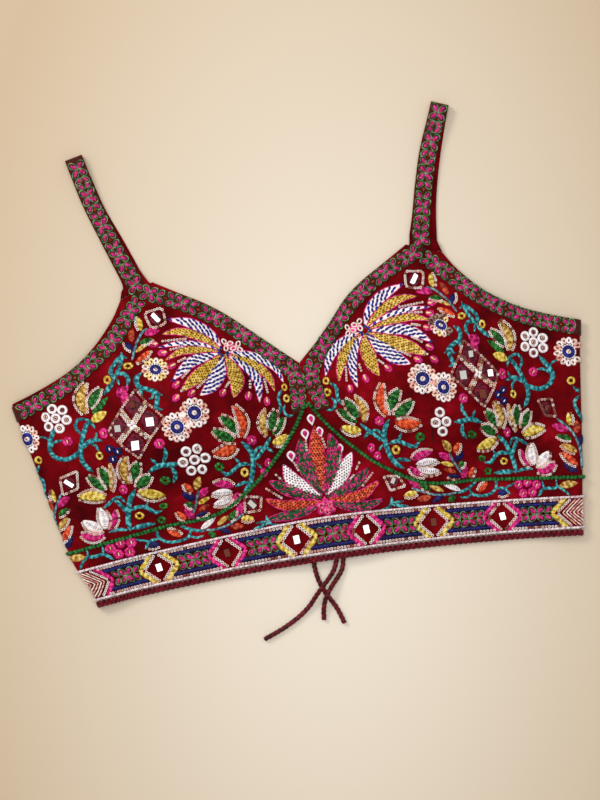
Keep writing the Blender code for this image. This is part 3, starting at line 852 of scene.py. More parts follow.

# %% [markdown]
# ## Silk thread
# Stranded silk is shiny because its fibres are smooth and lie side by side. Each colour is one
# skein, and one function makes them all. Satin stitch shows its threads running across a leaf:
# fine stripes along the pattern's first number, in mm, in painted highlight and painted shade,
# mixed with patches of both. A real thread is 0.3 mm, but the light catches it in bundles of
# about 2 mm.

# %% Silk thread materials
SKEINS = {
    # name: colour, where the thread is in shade, where it catches the light
    "magenta": ("#CF0C72", "#8A0748", "#F0449C"),
    "leaf_green": ("#105A1C", "#052E0A", "#3E943E"),
    "gold": ("#BF9038", "#7A5616", "#E8CC82"),
    "yellow": ("#D6B436", "#90701A", "#F6E88E"),
    "orange": ("#D8431E", "#92240C", "#F47A48"),
    "rust": ("#A4301A", "#66180A", "#CC5A36"),
    "navy": ("#0A084C", "#040428", "#1C1A72"),
    "white": ("#FDF6FC", "#D8CED8", "#FFFFFF"),
    "teal": ("#1B808C", "#0A4450", "#62C8CE"),
    "slate_blue": ("#547C8C", "#2A4856", "#8CB6C2"),
    "lace_green": ("#37703A", "#103A1C", "#80AE78"),
    "dark_green": ("#14361A", "#081A0C", "#2A5A30"),
    "speck_green": ("#20501E", "#0E2C0E", "#447842"),
    "mustard": ("#DCB03C", "#946C1C", "#F4D47A"),
    "pearl": ("#FBE4DC", "#C49A90", "#FFFAF8"),
    "blush": ("#EAA898", "#A86A60", "#FFD6C8"),
    "cream": ("#F0D890", "#C8A050", "#FFF2C4"),
    # A smoky brown thread that paints the shade on lobes of a flower in a fold.
    "smoke": ("#7E6054", "#46302A", "#B49A88"),
    "crimson": ("#5A0620", "#360212", "#7E1034"),
    "lace_magenta": ("#C01A70", "#8E0C4C", "#DC3E98"),
    "black_net": ("#160C08", "#0A0403", "#2C1C12"),
    "wine_net": ("#4A0A0C", "#2A0406", "#6E1A1C"),
    "navy_net": ("#141470", "#080838", "#32329A"),
}
BUNDLE = 2.0  # mm of threads from one highlight to the next
SLANT = 5.0  # mm that a stitch leans on its way across


def skein_material(name, base, shade, light):
    """Silk floss: smooth fibres side by side, glossy across them, with painted highlight and shade in
    stripes along its stitches and in patches.
    """
    material, shader = new_material(f"silk_floss_{name}", {
        "Base Color": linear(base), "Roughness": 0.55, "Specular IOR Level": 0.22})
    uv = add_node(material, "ShaderNodeUVMap", {"uv_map": "pattern"}).outputs["UV"]
    leaning = add_node(material, "ShaderNodeMapping", {"Scale": (1.0, SLANT, 1.0)}, {"Vector": uv})
    wave = add_node(material, "ShaderNodeTexWave", {
        "wave_type": "BANDS", "bands_direction": "DIAGONAL", "Scale": tau / 20 / BUNDLE,
        "Distortion": 2.4, "Detail": 1.0, "Detail Scale": 2.0},
        {"Vector": leaning.outputs["Vector"]}).outputs["Fac"]
    patchy = noise_at(material, object_place(material), 2.6)
    mixed = weighted_sum(material, (wave, 0.14), (patchy, 0.86))
    # The ramp paints shade and highlight on the floss: its shade colour, its own, then its light one.
    feed(material, shader, "Base Color", colour_ramp(
        material, mixed, ((0.36, shade), (0.5, base), (0.64, light))))
    bump_from(material, shader, mixed, 0.6, 0.35)
    return material


floss = {name: skein_material(name, *colours) for name, colours in SKEINS.items()}
print("skeins:", len(floss))

# %% [markdown]
# ## Stitches as formulas
# A line of stitches follows a route: a few points joined by a smooth curve. A satin leaf is a
# ball drawn out along its route, domed on top and nearly flat below. A chain-stitch vine is a
# flat tube that swells at every link. Rings and sequins are rings with their own widths.

# %% Routes, leaves, vines and rings
def distance_along(points):
    """How far along a line each of its points is."""
    return np.concatenate([[0.0], np.cumsum(np.linalg.norm(np.diff(points, axis=0), axis=1))])


def route_at(route, share):
    """Points, sideways directions and the length of a smooth line through a route's points."""
    rows = np.column_stack([distance_along(route), route])
    length = rows[-1, 0]

    def spot(s):
        return np.stack([curve_through(rows, s, 1), curve_through(rows, s, 2)], -1)

    s = np.asarray(share, float) * length
    ahead = spot(np.minimum(s + 0.05, length)) - spot(np.maximum(s - 0.05, 0.0))
    ahead /= np.linalg.norm(ahead, axis=-1, keepdims=True)
    return spot(s), np.stack([ahead[..., 1], -ahead[..., 0]], -1), length


def cos_sin(degrees):
    return np.cos(np.radians(degrees)), np.sin(np.radians(degrees))


def rotated(x, y, degrees):
    """Flat measures, turned to the left."""
    c, s = cos_sin(degrees)
    return x * c - y * s, x * s + y * c


def ray(x, y, degrees, start, end):
    """A straight route through a place, from start to end along that direction."""
    c, s = cos_sin(degrees)
    return ((x + start * c, y + start * s), (x + end * c, y + end * s))


def leaf_outline(share, blunt):
    """Half width along a leaf, from 0 to 1; blunt moves the widest place towards the tip."""
    return np.sin(pi * np.clip(share, 0, 1) ** blunt) ** 0.8


LEAF_BLUNT = 0.9
LINK = 2.3  # mm, one link of chain stitch


def sew_leaf(basket, route, width, height=0.9, blunt=LEAF_BLUNT, template=LEAF, side=1, centre=None,
             lift=0.0):
    """A satin-stitch leaf from its base to its tip."""
    share, turn = template["share"], template["angle"]
    middle, across, length = route_at(route, share)
    half = leaf_outline(share, blunt)
    spots = middle + across * (half * np.cos(turn) * width / 2)[:, None]
    up = np.sin(turn)
    rise = np.where(up > 0, up * height, up * 0.25) * half ** 0.8 + 0.1 + lift
    sew(basket, template, np.column_stack([spots, rise]), side, centre, length)


def sew_vine(basket, route, width, height=0.75, side=1, centre=None, taper=0.3, link=LINK):
    """A line of chain stitch; taper is how thin its two ends are."""
    length = route_at(route, 0.0)[2]
    template = tube(length, link / 2)
    share, turn = template["share"], template["angle"]
    middle, across, _ = route_at(route, share)
    run = share * length
    begin = taper + (1 - taper) * smooth_step(run / (1.2 * width))
    end = taper + (1 - taper) * smooth_step((length - run) / (1.2 * width))
    swell = 0.93 + 0.07 * np.abs(np.sin(pi * run / link + 0.7))
    half = begin * end * swell
    spots = middle + across * (half * np.cos(turn) * width / 2)[:, None]
    up = np.sin(turn)
    rise = np.where(up > 0, up * height * (0.6 + 0.4 * swell), up * 0.2) * half + 0.1
    sew(basket, template, np.column_stack([spots, rise]), side, centre, length)


def sew_ring(basket, x, y, size, hole, angle=0.0, height=1.0, side=1, centre=None):
    """A padded ring of buttonhole stitch; size and hole are a number, or a length and a width."""
    (size_x, size_y), (hole_x, hole_y) = (np.broadcast_to(v, 2) for v in (size, hole))
    turn, section = RING["angle"], tau * RING["share"]
    out = np.cos(section)
    reach_x = (size_x + hole_x) / 4 + (size_x - hole_x) / 4 * out
    reach_y = (size_y + hole_y) / 4 + (size_y - hole_y) / 4 * out
    off_x, off_y = rotated(reach_x * np.cos(turn), reach_y * np.sin(turn), angle)
    up = np.sin(section)
    rise = np.where(up > 0, up * height, up * 0.15) + 0.15
    sew(basket, RING, np.column_stack([x + off_x, y + off_y, rise]), side, centre, pi * size_x)


def sew_many(basket, size, x, y, angle, lift, side=1, centre=None, template=STITCH):
    """Many small stitches or knots of one length, width and height, turned one by one."""
    length, width, height = size
    x, y, angle, lift = np.broadcast_arrays(*(np.atleast_1d(v)[:, None] for v in (x, y, angle, lift)))
    share, turn = pi * template["share"], template["angle"]
    up = np.sin(turn) * np.sin(share)
    off_x, off_y = rotated(-np.cos(share) * length / 2, np.cos(turn) * np.sin(share) * width / 2, angle)
    rise = np.where(up > 0, up * height, up * 0.1) + lift
    sew(basket, template, np.stack([x + off_x, y + off_y, rise], -1), side, centre)

# %% [markdown]
# ## Sequins
# A sequin is a disc of pearly film with a hole, 2 mm across, held by one stitch. In a row each
# overlaps the last, so every disc tips a little and catches the light on its own. A list keeps
# where each goes until all are sewn at the end. The film comes clear, blush and a smoky brown
# that stands partly for brownish film and partly for sequins in painted shade; the rows mix them.

# %% Sequins
SEQUIN_SIZE = 2.1
SEQUIN_HOLE = 1.1
SEQUIN_PITCH = 2.08
SEQUIN_WALL = 0.3
SEQUIN_FILMS = {
    # film: colour, roughness
    "pearl": ("#FFF4EE", 0.25),
    "blush": ("#F4C8B8", 0.28),
    # Smoky brown: partly brownish clear film, partly painted shade on sequins.
    "smoke": ("#8E4C42", 0.3),
}
sequin_spots = []
chance = np.random.default_rng(11)


def drop_sequins(x, y, side=1, centre=None, size=1.0, mix=(0.5, 0.36, 0.14), lift=0.0):
    """Notes sequins to be sewn; mix is the share of pearl, blush and the smoky brown film, which is partly
    painted shade.
    """
    flat = np.column_stack([np.ravel(x), np.ravel(y), np.zeros(np.size(x))])
    for spot in to_side(flat, side, centre):
        sequin_spots.append((*spot[:2], size, chance.choice(3, p=mix), lift))


def places_along(route, pitch):
    """Places along a route, a pitch apart."""
    count = max(1, round(route_at(route, 0.0)[2] / pitch))
    return route_at(route, (np.arange(count) + 0.5) / count)[0]


def sequin_row(route, side=1, centre=None, pitch=SEQUIN_PITCH, **more):
    drop_sequins(*places_along(route, pitch).T, side, centre, **more)


def leaf_sequins(route, width, which, side):
    """Sequins round a leaf, on its right (1), its left (-1) or both (0)."""
    share = np.linspace(0.03, 0.99, 24)
    middle, across, _ = route_at(route, share)
    offset = leaf_outline(share, LEAF_BLUNT) * width / 2 + 1.0
    for hand in (1, -1):
        if hand * which >= 0:
            sequin_row(middle + across * (hand * offset)[:, None], side)


def film_material(name, colour, roughness):
    """Pearlised PET film: clear gloss over a pale body, with a faint coat of lacquer."""
    material, shader = new_material(f"pearl_film_{name}", {
        "Base Color": linear(colour), "Roughness": roughness, "Specular IOR Level": 0.6,
        "Coat Weight": 0.4, "Coat Roughness": 0.12})
    cloudy = noise_at(material, object_place(material), 0.9)
    bump_from(material, shader, cloudy, 0.3, 0.1)
    return material


films = {name: film_material(name, *film) for name, film in SEQUIN_FILMS.items()}


def sew_sequins(table, words, lay_on):
    """Makes one mesh for each film from a table of where sequins go."""
    turn, section = SEQUIN["angle"], tau * (SEQUIN["share"] + 0.125)
    edge = np.sign(np.cos(section))
    reach = (SEQUIN_SIZE + SEQUIN_HOLE) / 4 + (SEQUIN_SIZE - SEQUIN_HOLE) / 4 * edge
    top = np.sign(np.sin(section)) * SEQUIN_WALL / 2
    table = np.array(table)
    for number, film in enumerate(SEQUIN_FILMS):
        for word in words:
            here = (table[:, 3] == number) & ((table[:, 0] < 0) | (word != "left"))
            rows = table[here & ((table[:, 0] >= 0) | (word != "right"))]
            tip_x, tip_y = chance.uniform(-0.22, 0.22, (2, len(rows)))
            size = rows[:, 2] * chance.uniform(0.93, 1.05, len(rows))
            flat_x = (reach * np.cos(turn))[None] * size[:, None]
            flat_y = (reach * np.sin(turn))[None] * size[:, None]
            rise = (0.75 + top[None] + rows[:, 4:5] + chance.uniform(0, 0.35, (len(rows), 1))
                    + flat_x * tip_x[:, None] + flat_y * tip_y[:, None])
            spots = np.stack([rows[:, 0:1] + flat_x, rows[:, 1:2] + flat_y, rise], -1)
            sew(f"sequins_{film}_{word}", SEQUIN, spots, 1, 0.0)
            empty_basket(f"sequins_{film}_{word}", films[film], "sequin", lay_on)

# %% [markdown]
# ## Buds and sprays
# Half-open buds in green, gold, orange, white and magenta fill most of the ground, each petal a
# satin leaf with sequins round it, and sprays of small leaves the rest. Each row of the table is
# one leaf, from its base to its tip, with how far it bends to its right. White, magenta and
# green ones have a vein of short dark stitches.

# %% Leaf table
VEINS = {"white": "black_net", "magenta": "crimson", "leaf_green": "dark_green"}
LEAVES = (
    # floss, base x, base y, tip x, tip y, width, bend, sequins on its right 1, left -1 or both 0
    ("gold", 163.5, -13.5, 159.5, 11.5, 7.2, 4, 0),
    ("leaf_green", 160.5, -9, 149.5, 5.5, 6, 0.8, 0),
    ("leaf_green", 159, -13.5, 146, -2, 5.8, 0),
    ("yellow", 160.5, -19.5, 148.5, -13, 7.6, 0.5),
    ("leaf_green", 158.5, -70.5, 161, -53.5, 6.4, -1, 0),
    ("leaf_green", 161.5, -73, 171.3, -59, 6.2, -0.6, 0),
    ("gold", 157.5, -74.5, 154.5, -51.5, 4.2, -1.2, -1),
    ("yellow", 161, -78, 181.5, -75, 8.4, -1.5, 0),
    ("gold", 143.5, -70.5, 141.5, -48, 6.4, 3, 0),
    ("leaf_green", 141, -68.5, 133.3, -53.8, 7, 0.8, 0),
    ("leaf_green", 139, -74, 126.8, -65.5, 7.2, 0.6, 0),
    ("yellow", 139.5, -75.8, 120, -82.5, 8.2, -1, -1),
    ("orange", 57.3, -48.5, 58, -22, 7.2, -3.6, 0),
    ("leaf_green", 58.7, -44.5, 69.9, -28.7, 7.4, -1, 0),
    ("leaf_green", 62, -49.2, 77.7, -38.3, 7.2, 0.6, 0),
    ("orange", 61, -53.3, 81, -56.5, 8.6, 1.2, 0),
    ("gold", 37.6, -50.5, 34.3, -28.5, 5.6, 3.8, 1),
    ("leaf_green", 34.8, -46.5, 27.2, -30, 6.6, 0.6, 0),
    ("leaf_green", 33.5, -50, 21, -36.5, 6.2, 0.4, -1),
    ("yellow", 35.5, -56, 21, -50.5, 7.4, -1, -1),
    ("white", 167, -102.8, 167.3, -84.5, 7.2, -0.8, 0),
    ("white", 168.5, -103.5, 181.3, -92.8, 8.4, 0.6, 1),
    ("magenta", 163.5, -104, 157.3, -87.5, 5.2, -0.6, -1),
    ("magenta", 167.5, -106.5, 185, -103.3, 7.4, 1.8, 0),
    ("magenta", 69, -84, 85.5, -79.3, 6.6, -1, -1),
    ("white", 71, -87.6, 88, -86.8, 5.8, -0.4, 1),
    ("white", 72, -91.5, 88, -95.3, 6.4, 0.6, 1),
    ("magenta", 66.5, -88.5, 76.8, -98.3, 4.8, 0.8, 1),
    # pink bud beside the four mirrors
    ("magenta", 137.5, -3.5, 130.6, 3.6, 6.6, 0.8),
    ("magenta", 138, -4.4, 137.6, 4, 5.6, -0.6),
    ("magenta", 134.2, 0.6, 136.6, -9.2, 6.4, 0.8),
    # spray over the cup
    ("magenta", 111.8, 40.5, 99, 42.6, 6.2, 0.8),
    ("yellow", 113.5, 43.8, 113.3, 55.5, 4.6, -0.4, 1),
    ("rust", 122.3, 36.3, 118.8, 47.3, 5.2, 0.9),
    ("navy", 123.2, 29.3, 127.5, 37.6, 4.4, -0.3, 1),
    ("leaf_green", 117.5, 34, 106.3, 36.6, 4.4, 0.4, -1),
    ("gold", 122, 28, 110.5, 34.2, 3.2, 0.3),
    ("orange", 123.8, 19.8, 110.8, 28.3, 4.2, 0, -1),
    # spray beside the dart
    ("gold", 98.5, -82.3, 93.6, -71.8, 6.2, 0.6),
    ("orange", 101, -83.3, 106.3, -75.3, 4.6, 0, 1),
    ("magenta", 97.8, -88.5, 88.6, -81.6, 5.8, 0.6),
    ("navy", 101, -90, 109.3, -83, 6.6, -0.6),
    ("yellow", 99.3, -93.3, 89.5, -89, 3.9, 0.3),
    ("leaf_green", 103, -94.7, 107.8, -90.2, 4, 0, 1),
    ("rust", 100.2, -98.8, 90.8, -94.4, 4, 0.3),
    ("navy", 103, -102.2, 92.6, -99.6, 3.5, -0.3, -1),
    ("magenta", 104, -104.3, 108.8, -93.2, 6.2, 0.6),
    ("orange", 109.8, -104.3, 115.3, -96.2, 4.2, 0, 1),
    # spray at the side
    ("yellow", 199.5, -76.3, 200.3, -65.6, 4, 0.2, 1),
    ("rust", 202.8, -83, 204.3, -72, 4.8, 0.6),
    ("magenta", 198.2, -80.3, 186.8, -73.3, 6.2, 0.6),
    ("leaf_green", 199.6, -86.8, 189.2, -81.8, 4.2, 0.3, -1),
    ("gold", 201.2, -97.3, 191.3, -88.8, 5.2, 0.4, -1),
    ("orange", 200.3, -107.7, 190.3, -94.8, 4.9, 0.2, -1),
    ("navy", 198.7, -112.7, 190.3, -103.3, 6, 0.3),
    ("navy", 203.4, -93, 207.2, -84, 4.2, 0),
    # between the green line and the border
    ("gold", 184, -120.8, 198, -120.4, 6.2, 0),
    ("orange", 115, -116.5, 125, -109.5, 4.4, 0.2, -1),
    ("navy", 131, -120, 140.5, -120.8, 5.4, -1, 1),
    ("white", 101.3, -113.4, 87.6, -105.3, 4.8, 0.2),
    ("gold", 88.3, -112.2, 77.6, -105.4, 4.4, 0.2),
    ("leaf_green", 78.3, -110.2, 71.3, -102.2, 4.2, 0.2, -1),
    ("magenta", 70.8, -107.2, 63.3, -96.6, 6.4, 0.5),
    ("yellow", 68.8, -109.4, 58, -110.8, 5, 0.2, -1),
    ("rust", 78.3, -114.4, 66.6, -114.8, 5.6, -0.5),
    ("navy", 87.3, -115.2, 77.8, -119.2, 4.2, 0.3),
    ("leaf_green", 96.2, -116.4, 90.3, -120.7, 5, 0.2),
)


def bent(x0, y0, x1, y1, bend):
    """A route of three points whose middle is pushed to the right by bend."""
    run = math.hypot(x1 - x0, y1 - y0)
    middle = ((x0 + x1) / 2 + (y1 - y0) / run * bend, (y0 + y1) / 2 - (x1 - x0) / run * bend)
    return ((x0, y0), middle, (x1, y1))


for skein, x0, y0, x1, y1, width, bend, *sequins in LEAVES:
    route = bent(x0, y0, x1, y1, bend)
    middle, across, _ = route_at(route, np.arange(0.16, 0.88, 0.09))
    angle = np.degrees(np.arctan2(across[:, 1], across[:, 0]))
    for side in (-1, 1):
        sew_leaf(f"leaves_{skein}", route, width, side=side)
        for which in sequins:
            leaf_sequins(route, width, which, side)
        if skein in VEINS:
            sew_many(f"stitches_{VEINS[skein]}", (width * 0.34, 0.55, 0.3), *middle.T, angle, 0.8, side)
print("leaves:", 2 * len(LEAVES))

# %% [markdown]
# ## Vines
# Teal chain stitch joins the flowers with curling stems. One row is one line: its width in mm,
# then the points it passes, again for one half of the blouse.

# %% Vine table
VINES = (
    # by the gold bud
    (4, (148.5, 0), (143, 6), (139.5, 11)),
    (3.4, (139.5, 10), (141.5, 16.5), (137.5, 22.5), (132.5, 26.5), (128.3, 25)),
    (3, (139.5, 11), (135, 18.5), (132.5, 24.5), (131.5, 30)),
    (3.3, (138.5, 12.5), (133.5, 13.8), (130, 9.5), (131.5, 3.5)), (2.4, (138, 11), (136.8, 5.5)),
    # over the cup
    (4, (120, 12.3), (124.5, 8), (123.5, 2), (117, -1.5), (112.3, -5), (112.8, -11), (113.8, -16),
     (110, -18)),
    (2.4, (123.5, 2.5), (122, -5)), (2, (112.3, -5), (108.3, -7.2)),
    (1.8, (115, -3), (115.5, -7.5), (118.5, -8.5)),
    # by the side flower
    (4, (187.5, -19.5), (191, -25.5), (194, -31), (194.5, -37), (191, -42), (184, -44.5),
     (177, -42.8), (171.8, -38.8)),
    (1.9, (193, -29), (197, -25.7), (201.5, -24.7)), (2.4, (183.5, -29.5), (190, -30.5), (194, -35)),
    (3.9, (162, -17), (167, -26), (170.3, -34), (172, -40), (172.5, -47), (170, -52.5), (166.5, -57)),
    (2.5, (162, -17), (169.5, -16), (172.3, -21), (169, -27.5)), (2.2, (162, -17), (158.7, -24.5)),
    (3.8, (171.5, -39), (165.5, -34), (160, -33), (155.5, -34.5)), (2.1, (160, -33), (158.3, -27.5)),
    (2.2, (165, -34.5), (160.5, -37.5), (159.5, -42)),
    # from the ring flower
    (4.3, (105.5, -59.5), (112, -59.8), (120, -59.3), (128.8, -63.2)),
    (3.3, (117.5, -58), (114, -51), (114.5, -46)), (2.7, (121, -58.5), (125, -53)),
    (3.6, (112.7, -61), (110.7, -67.5), (113.5, -74)),
    # low on the cup
    (4.3, (140, -74.5), (145, -81), (148, -89), (150, -98), (150, -106.5)),
    (3.4, (149, -93), (153, -85), (157, -79)), (2.2, (157, -79), (152, -79), (149.3, -84)),
    (2.9, (156.5, -79), (161, -83), (165, -85.5)),
    (3.4, (147.5, -90.5), (141, -88.5), (135.5, -90), (130, -94.7), (125.2, -94)),
    (2.7, (136, -90), (134, -85.5)), (4.1, (149, -104.8), (141, -104), (131.5, -103.5)),
    (3, (151, -105.5), (158, -104), (165, -105)),
    # by the middle
    (4.3, (57.5, -50.5), (52.5, -58), (51.5, -66), (53, -75), (56.5, -84), (62.5, -89.5)),
    (3.4, (50.5, -67), (44, -60.5), (38, -54), (35.3, -50.5)), (2.9, (41, -57), (35.8, -62.5)),
    (2.5, (50, -63.5), (47.5, -58), (42.2, -56.8)), (2.3, (49, -69), (45.8, -73.5)),
    (3.4, (53.5, -69), (61, -67.8), (67.5, -71.5), (73, -73.8), (77.3, -70)),
    (2.8, (61.5, -67.7), (64.8, -62)), (3.1, (57, -82), (63, -82.5), (68.3, -84.3)),
    (2.8, (18.5, -16), (22.8, -21), (22.8, -28.5), (24.8, -34.5)),
    (2.6, (18, -27.5), (20.5, -31.5), (18.3, -36.3), (12.7, -37)),
    # at the side
    (2.5, (207, -46), (210.8, -52.5)), (2.6, (210, -54), (206, -59), (207, -67), (210.2, -75.5)),
    # between the green line and the border
    (3, (165, -126.5), (171, -121.3), (179, -121.8), (184.5, -120.8)), (2, (171, -121), (171, -115)),
    (1.8, (182, -121), (182.6, -115)), (2.1, (183, -121.5), (188, -125.5), (191, -129.5)),
    (2.7, (98.5, -115), (107, -112.5), (115.5, -108)),
    (2.6, (108.5, -112.5), (110.5, -117.5), (118, -119.5), (126, -118.8), (131, -114.5), (132, -108)),
    (2.4, (131, -115.5), (138, -116.5), (142, -122)), (1.9, (138.5, -116.3), (148, -113.5)),
    (1.9, (99.5, -118), (105, -119), (110, -116.5)),
    (2.9, (39.3, -118.7), (44, -118.5), (48, -115), (48.8, -110)), (2, (49, -114.5), (57.3, -114.7)),
    (3, (48, -116), (55, -118), (62, -120.5)),
)
STEMS = (
    (2, (108, 45.5), (113.5, 42), (120.5, 33), (125.5, 22.5)),
    (2, (97, -82.5), (100.5, -92), (104, -99), (108, -103.5)),
    (2, (192, -69), (198.5, -77.5), (202.5, -87), (203.2, -100), (202, -111)),
    (2.1, (65, -105.5), (72, -109.5), (80, -113), (90, -114.8), (98.5, -114)),
)
for table, skein in ((VINES, "teal"), (STEMS, "slate_blue")):
    for width, *route in table:
        for side in (-1, 1):
            sew_vine(f"vines_{skein}", route, width, side=side)
print("vines:", 2 * len(VINES), "stems:", 2 * len(STEMS))

# %% [markdown]
# ## Rings and ring flowers
# Padded rings of buttonhole stitch hang on the vines like berries, some with one pale stitch
# over the middle. Seven white rings make a flower, or four where a dart takes in the cloth, and
# in each of them sits a blush sequin held by a dark stitch. Five magenta rings make one in the
# strip above the border. On each cup a thin dark line of thread paints the shade in a crease near
# the dart.

# %% Ring table
RINGS = {
    # floss: how much larger than listed, hole as a share of it, pale stitch over the middle, then
    # x, y, size across and size up of each ring
    "magenta": (1.16, 0.2, "cream", (
        (116.8, -42.8, 7, 7), (180, -31, 7, 6.6), (153.5, -29, 5.6, 7.6), (148.5, -73.5, 5.6, 7.2),
        (50, -50.7, 6.6, 7), (40.5, -70, 5.2, 6.6), (44.5, -77, 5.2, 6.6), (150.6, -115.3, 7, 7),
        (158.2, -114.6, 7, 7), (165.8, -117.5, 7, 7), (153, -122.4, 7, 7), (161, -122.6, 7, 7))),
    "yellow": (1.02, 0.38, None, (
        (159.5, -45.3, 5.2, 6.6), (59, -74.3, 6.6, 7.4), (141.5, -95.5, 6.6, 6.2), (16, -14.5, 5.2, 6.2),
        (16, -23.3, 6.2, 6.6), (206.5, -42, 6.4, 6.4), (144.5, 10.5, 5.6, 7), (128.7, 18.8, 7.4, 5.4))),
    "leaf_green": (1.1, 0.24, None, (
        (118.5, -71, 7, 6.2), (77.8, -67, 6.8, 6.8), (123.5, -90.5, 6.2, 4.6), (127, -101.5, 6.2, 6))),
    "navy": (1.2, 0.16, "white", (
        (146.3, -44, 5.6, 5.6), (151.5, -41.2, 5.6, 5.4), (150.6, -49.2, 5.8, 5.6))),
}
SIX_ROUND = ((-6, 5.5), (1.5, 7.6), (7.6, 2.1), (6.5, -5.4), (-1.6, -8), (-7.8, -2.4))
RING_FLOWERS = (
    # side, centre, then where the rings round it sit
    (-1, 185.5, -12.4, *SIX_ROUND), (1, 185, -8.8, *SIX_ROUND),
    (-1, 95, -58.7, (-3.7, 7.9), (4.7, 7.2), (8.5, -0.6), (3.9, -7.8), (-4.4, -8), (-8.5, 0.2)),
    (1, 91.4, -57.8, (4.4, 7.2), (8.1, -0.4), (3.8, -7.4)),
)
CREASE_SHADE_LINES = (
    # side, the two ends of a dark line of thread that paints the shade in a crease
    (-1, (110.5, 1), (98, -20.5)), (1, (92.6, -33), (85.9, -73)),
)
for skein, (grow, hole, middle, rings) in RINGS.items():
    for x, y, *listed in rings:
        size = np.array(listed) * grow
        for side in (-1, 1):
            sew_ring(f"rings_{skein}", x, y, size, size * hole, side=side)
            if middle:
                sew_many(f"stitches_{middle}", (size[0] * 0.4, 1.1, 0.5), x, y, 65 - side * 20, 0.9, side)
for side, x, y, *offsets in RING_FLOWERS:
    for out, up in [(0, 0), *offsets]:
        sew_ring("rings_white", x + out, y + up, 8.0, 3.4, height=1.3, side=side)
        drop_sequins([x + out], [y + up], side, size=1.25, mix=(0.0, 0.5, 0.5), lift=0.1)
        sew_many("stitches_black_net", (2.8, 0.8, 0.4), x + out, y + up, 40 + 9 * out, 1.2, side)
# Thin dark thread paints the shade in a crease on each cup.
for side, *ends in CREASE_SHADE_LINES:
    sew_vine("vines_black_net", ends, 0.5, 0.2, side, link=2.5)
print("rings:", 2 * sum(len(row[3]) for row in RINGS.values()) + sum(len(row) - 2 for row in RING_FLOWERS))

# %% [markdown]
# ## The feathered flower on each cup
# Eleven long petals fan out from a pink floret. White ones carry coarse navy stitches laid like
# bricks, yellow ones a net of black knots, and a thin magenta line runs round them. Stamens of
# sequins with pink tips stand between. A net is many small stitches in rows on the petal, placed
# by its own lengthwise and sideways measures.

# %% Petals with stitches on them
PETAL_HEIGHT = 0.9
PETAL_RIM = 0.5  # mm round a petal without stitches


def petal_grid(route, width, along, across, blunt, slant):
    """Places for small stitches on a petal, as bricks lie: x, y, angle and the petal's height."""
    length = route_at(route, 0.0)[2]
    rows = []
    for number, run in enumerate(np.arange(PETAL_RIM + along / 2, length - PETAL_RIM, along)):
        half = leaf_outline(np.array(run / length), blunt) * width / 2
        start = across / 2 if number % 2 else 0.0
        for v in np.arange(-math.ceil(width / across) * across + start, width, across):
            run_here = run + slant * v
            if abs(v) < half - PETAL_RIM * 0.6 and PETAL_RIM < run_here < length - PETAL_RIM * 0.7:
                rows.append((run_here / length, v, half))
    share, v, half = np.array(rows).T
    middle, sideways, _ = route_at(route, share)
    ahead = np.degrees(np.arctan2(sideways[:, 0], -sideways[:, 1]))
    spots = middle + sideways * v[:, None]
    return spots[:, 0], spots[:, 1], ahead, np.sqrt(np.clip(1 - (v / half) ** 2, 0, 1)), half / (width / 2)


def netted_petal(route, width, blunt, base, nets, step, across, size, slant=0.0, turned=0.0,
                 jitter=0.12, side=1, centre=None):
    """A petal in one floss with a pattern of small stitches in others, and a thin line round it."""
    sew_leaf(f"leaves_{base}", route, width, PETAL_HEIGHT, blunt, PETAL, side, centre)
    x, y, ahead, dome, rise = petal_grid(route, width, step, across, blunt, slant)
    lift = PETAL_HEIGHT * dome * rise ** 0.8 + 0.08
    x = x + chance.uniform(-jitter, jitter, len(x))
    y = y + chance.uniform(-jitter, jitter, len(y))
    turned = turned + chance.uniform(-60, 60, len(x)) * jitter
    colour = chance.integers(0, len(nets), len(x))
    for number, net in enumerate(nets):
        here = colour == number
        sew_many(f"stitches_{net}", (*size, 0.4), x[here], y[here], (ahead + turned)[here], lift[here],
                 side, centre)
    share = np.linspace(0.04, 0.98, 12)
    middle, sideways, _ = route_at(route, share)
    offset = leaf_outline(share, blunt)[:, None] * width / 2 + 0.15
    for hand in (-1, 1):
        sew_vine("vines_magenta", middle + sideways * hand * offset, 0.8, 0.6, side, centre, link=3.4)


FEATHER_BLUNT = 1.05
FEATHERS = (
    # kind, width, route
    ("navy", 8.4, (55.6, 20.6), (60, 31), (67, 38.5), (77, 45), (91.5, 50)),
    ("black", 7, (56.2, 20.2), (64, 28), (75, 35), (87, 39.3), (99, 39)),
    ("navy", 4.2, (56.8, 19.6), (66, 24.5), (76, 28), (90, 30), (105.5, 29.3)),
    ("black", 6, (57, 19), (66, 21.5), (78, 23.5), (90, 23.5), (102.5, 19)),
    ("navy", 8.4, (57, 18.4), (70, 17), (82, 15), (91, 10), (100, 2.5)),
    ("black", 10.8, (56.7, 17.8), (66, 11), (76, 5), (86, -0.5), (94.5, -7)),
    ("navy", 11.6, (56, 17.3), (61, 7), (67, 0), (73, -6.5), (81.5, -11.5)),
    ("black", 11.2, (55, 17), (52.5, 7), (52, -1), (53, -8), (56.7, -17)),
    ("navy", 7.6, (54.2, 17.2), (45, 9), (39, 0), (37, -9), (38.6, -23.5)),
    ("black", 8, (53.7, 17.8), (44, 12.5), (33.5, 3.5), (27.5, -5.5), (25, -17)),
    ("navy", 7.2, (53.5, 18.6), (40, 15), (28, 9), (20, 1), (15.7, -11.3)),
)
